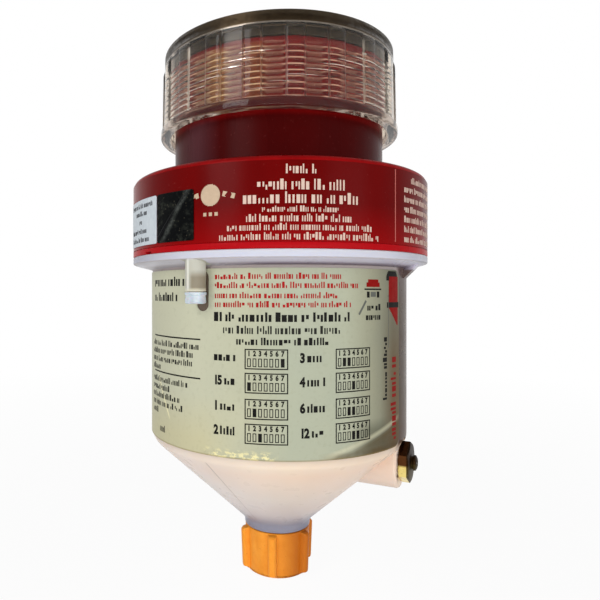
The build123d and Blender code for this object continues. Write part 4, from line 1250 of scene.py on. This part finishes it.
# Batteries in their tray: three jacketed cells, a printed band at the button end of each, lying on
# a black moulded cradle between plated spring plates.
for index in range(3):
    jacket = Finish(f"battery_jacket_{index + 1}", coat=0.3, coat_roughness=0.1)
    along = jacket.x * (1 if index % 2 == 0 else -1)
    print_wear = jacket.noise(400, 3)
    ends = along.above(0.0212, 0.0003) + along.below(-0.0219, 0.0002)
    skin = jacket.layered(
        jacket.mix(along.above(0.0085, 0.0004), (28, 30, 34), (196, 140, 60)),
        (along.within(0.0060, 0.0085, 0.0002), (210, 210, 206)),
        (print_wear.above(0.64, 0.1) * 0.3, (120, 116, 104)),
        (ends, (196, 196, 192)),
    )
    jacket.give(base_color=skin, metallic=ends, roughness=print_wear * 0.2 + 0.22)
    jacket.bump(print_wear, 0.0001, 0.3)
    dress(jacket.material, f"battery_{index + 1}")
black = clouded("black_moulding", (900, 3), (22, 22, 24), (44, 44, 46), (0.25, 0.4), (0.0001, 0.6), (0.5, 1))
dress(black, "battery_tray", "control_chip")
dress(steel, "battery_contacts", "board_screws")


# Control board: green solder resist over copper tracks, with the seven-lever switch, two lamps and
# the controller soldered to it. Rows of small tinned joints show where their legs come through.
BOARD_TOP = 0.13715
SWITCHES = 7
SWITCH_PITCH = 0.00254
resist = Finish("solder_resist", coat=0.3, coat_roughness=0.15)
weave = resist.node("ShaderNodeTexBrick", {"offset": 0.5}, {
    "Vector": resist.place, "Scale": 260.0, "Color1": ink(16, 92, 50), "Color2": ink(20, 100, 56),
    "Mortar": ink(34, 128, 74), "Mortar Size": 0.012, "Brick Width": 0.9, "Row Height": 0.32,
})
blotch = resist.noise(160, 4)
coating = resist.mix(blotch.above(0.5, 0.5) * 0.5, weave, (10, 70, 40))
resist.give(base_color=coating, roughness=blotch * 0.2 + 0.2)
resist.bump(resist.noise(1200, 2), 0.0001, 0.3)
dress(resist.material, "circuit_board")

joints = bmesh.new()
for index in range(SWITCHES):
    for row in (-0.0112, -0.0008):
        place = Matrix.Translation(((index - 3) * SWITCH_PITCH, row, BOARD_TOP + 0.0001))
        place = place @ Matrix.Diagonal((1, 1, 0.45, 1))
        bmesh.ops.create_uvsphere(joints, u_segments=16, v_segments=8, radius=0.0006, matrix=place)
tin = clouded("tinned_joint", (1500, 3), (170, 172, 174), (206, 206, 204), (0.3, 0.2), (0.00005, 0.5),
              (0.5, 1), metallic=1.0)
put("solder_joints", closed(joints), tin, "housing", "steel")

switch = Finish("switch_moulding")
moulded = switch.noise(800, 3)
front = switch.y.within(-0.0108, -0.0098, 0.0002) * switch.z.above(BOARD_TOP + 0.00415, 0.0001)
body = switch.mix(moulded, (160, 24, 20), (186, 34, 28))
body = switch.mix(front * 0.8, body, (226, 222, 214))
switch.give(base_color=body, roughness=moulded * 0.2 + 0.35)
switch.bump(moulded, 0.0001, 0.4)
dress(switch.material, "dip_switch_block")

lever = clouded("lever_moulding", (1200, 3), (222, 220, 210), (240, 238, 230), (0.2, 0.3), (0.00005, 0.4),
                (0.5, 1))
dress(lever, *[f"dip_slider_{index + 1}" for index in range(SWITCHES)])

lens = Finish("lamp_lens", ior=1.5, coat=0.4)
colour = lens.mix(lens.x.above(0, 0.001), (70, 170, 90), (190, 60, 56))
lens.give(base_color=colour, roughness=lens.noise(600, 2) * 0.1 + 0.08, alpha=0.85)
dress(lens.material, "status_leds")


# Studio: a pale floor that keeps the object's shadow, a plain surround that lens, gloss and clear
# plastic see white, three soft lamps, and the camera level with the middle of the reservoir.
FLOOR = 4


class Seen(Nodes):
    """Mask that is 1 for the lens and for rays off glossy and through clear surfaces."""

    def mask(self):
        rays = self.node("ShaderNodeLightPath", {}, {}, "Is Camera Ray").socket.node
        kinds = ("Is Camera Ray", "Is Glossy Ray", "Is Transmission Ray")
        seen, glossy, through = [Value(self, rays.outputs[kind]) for kind in kinds]
        return seen.math("MAXIMUM", glossy).math("MAXIMUM", through)


pale = bpy.data.materials.new("pale_floor")
pale.use_nodes = True
pale.node_tree.nodes.clear()
ground = Seen(pale.node_tree)
matt = ground.node("ShaderNodeBsdfDiffuse", {}, {"Color": (0.82, 0.82, 0.82, 1)})
white_glow = ground.node("ShaderNodeEmission", {}, {"Color": (1, 1, 1, 1), "Strength": 1.0})
spot = ground.node("ShaderNodeTexCoord", {}, {}, "Object")
far = ground.node("ShaderNodeVectorMath", {"operation": "LENGTH"}, {0: spot}, "Value").above(0.3, 0.4)
glow = ground.mask() * (0.55 + far * 0.05) + 0.40
blend = ground.node("ShaderNodeMixShader", {}, {0: glow, 1: matt, 2: white_glow})
ground.node("ShaderNodeOutputMaterial", {}, {"Surface": blend})
level = cad_box[0][2] - 0.00005
floor_mesh = bpy.data.meshes.new("floor")
corners = [(-FLOOR, -FLOOR, level), (FLOOR, -FLOOR, level), (FLOOR, FLOOR, level), (-FLOOR, FLOOR, level)]
floor_mesh.from_pydata(corners, [], [(0, 1, 2, 3)])
floor = linked("floor", floor_mesh)
floor_mesh.materials.append(pale)

world = bpy.data.worlds.new("surround")
bpy.context.scene.world = world
world.use_nodes = True
world.node_tree.nodes.clear()
sky = Seen(world.node_tree)
strength = sky.mask() * 0.75 + 0.25
surround = sky.node("ShaderNodeBackground", {}, {"Color": (1, 1, 1, 1), "Strength": strength})
sky.node("ShaderNodeOutputWorld", {}, {"Surface": surround})


def lamp(name, place, width, height, power):
    """Soft rectangular lamp aimed at the middle of the object."""
    light = bpy.data.lights.new(name, "AREA")
    light.shape = "RECTANGLE"
    light.size = width
    light.size_y = height
    light.energy = power
    holder = linked(name, light)
    holder.location = place
    holder.rotation_euler = (Vector((0, 0, 0.08)) - Vector(place)).to_track_quat("-Z", "Y").to_euler()


lamp("key", (-0.55, -0.60, 0.45), 0.35, 0.5, 2.9)
lamp("fill", (0.55, -0.55, 0.10), 0.4, 0.4, 1.1)
lamp("low", (0.05, -0.5, 0.05), 0.5, 0.10, 1.2)

camera_data = bpy.data.cameras.new("camera")
camera_data.sensor_width = 36
camera_data.lens = 33.0
camera_data.shift_x = 0.1133
camera_data.shift_y = -0.0097
camera_data.clip_start = 0.01
camera = linked("camera", camera_data)
camera.location = (-0.0147, -0.1786, 0.0855)
camera.rotation_euler = (math.pi / 2, 0, 0)
bpy.context.scene.camera = camera
bpy.context.scene.view_settings.view_transform = "Standard"
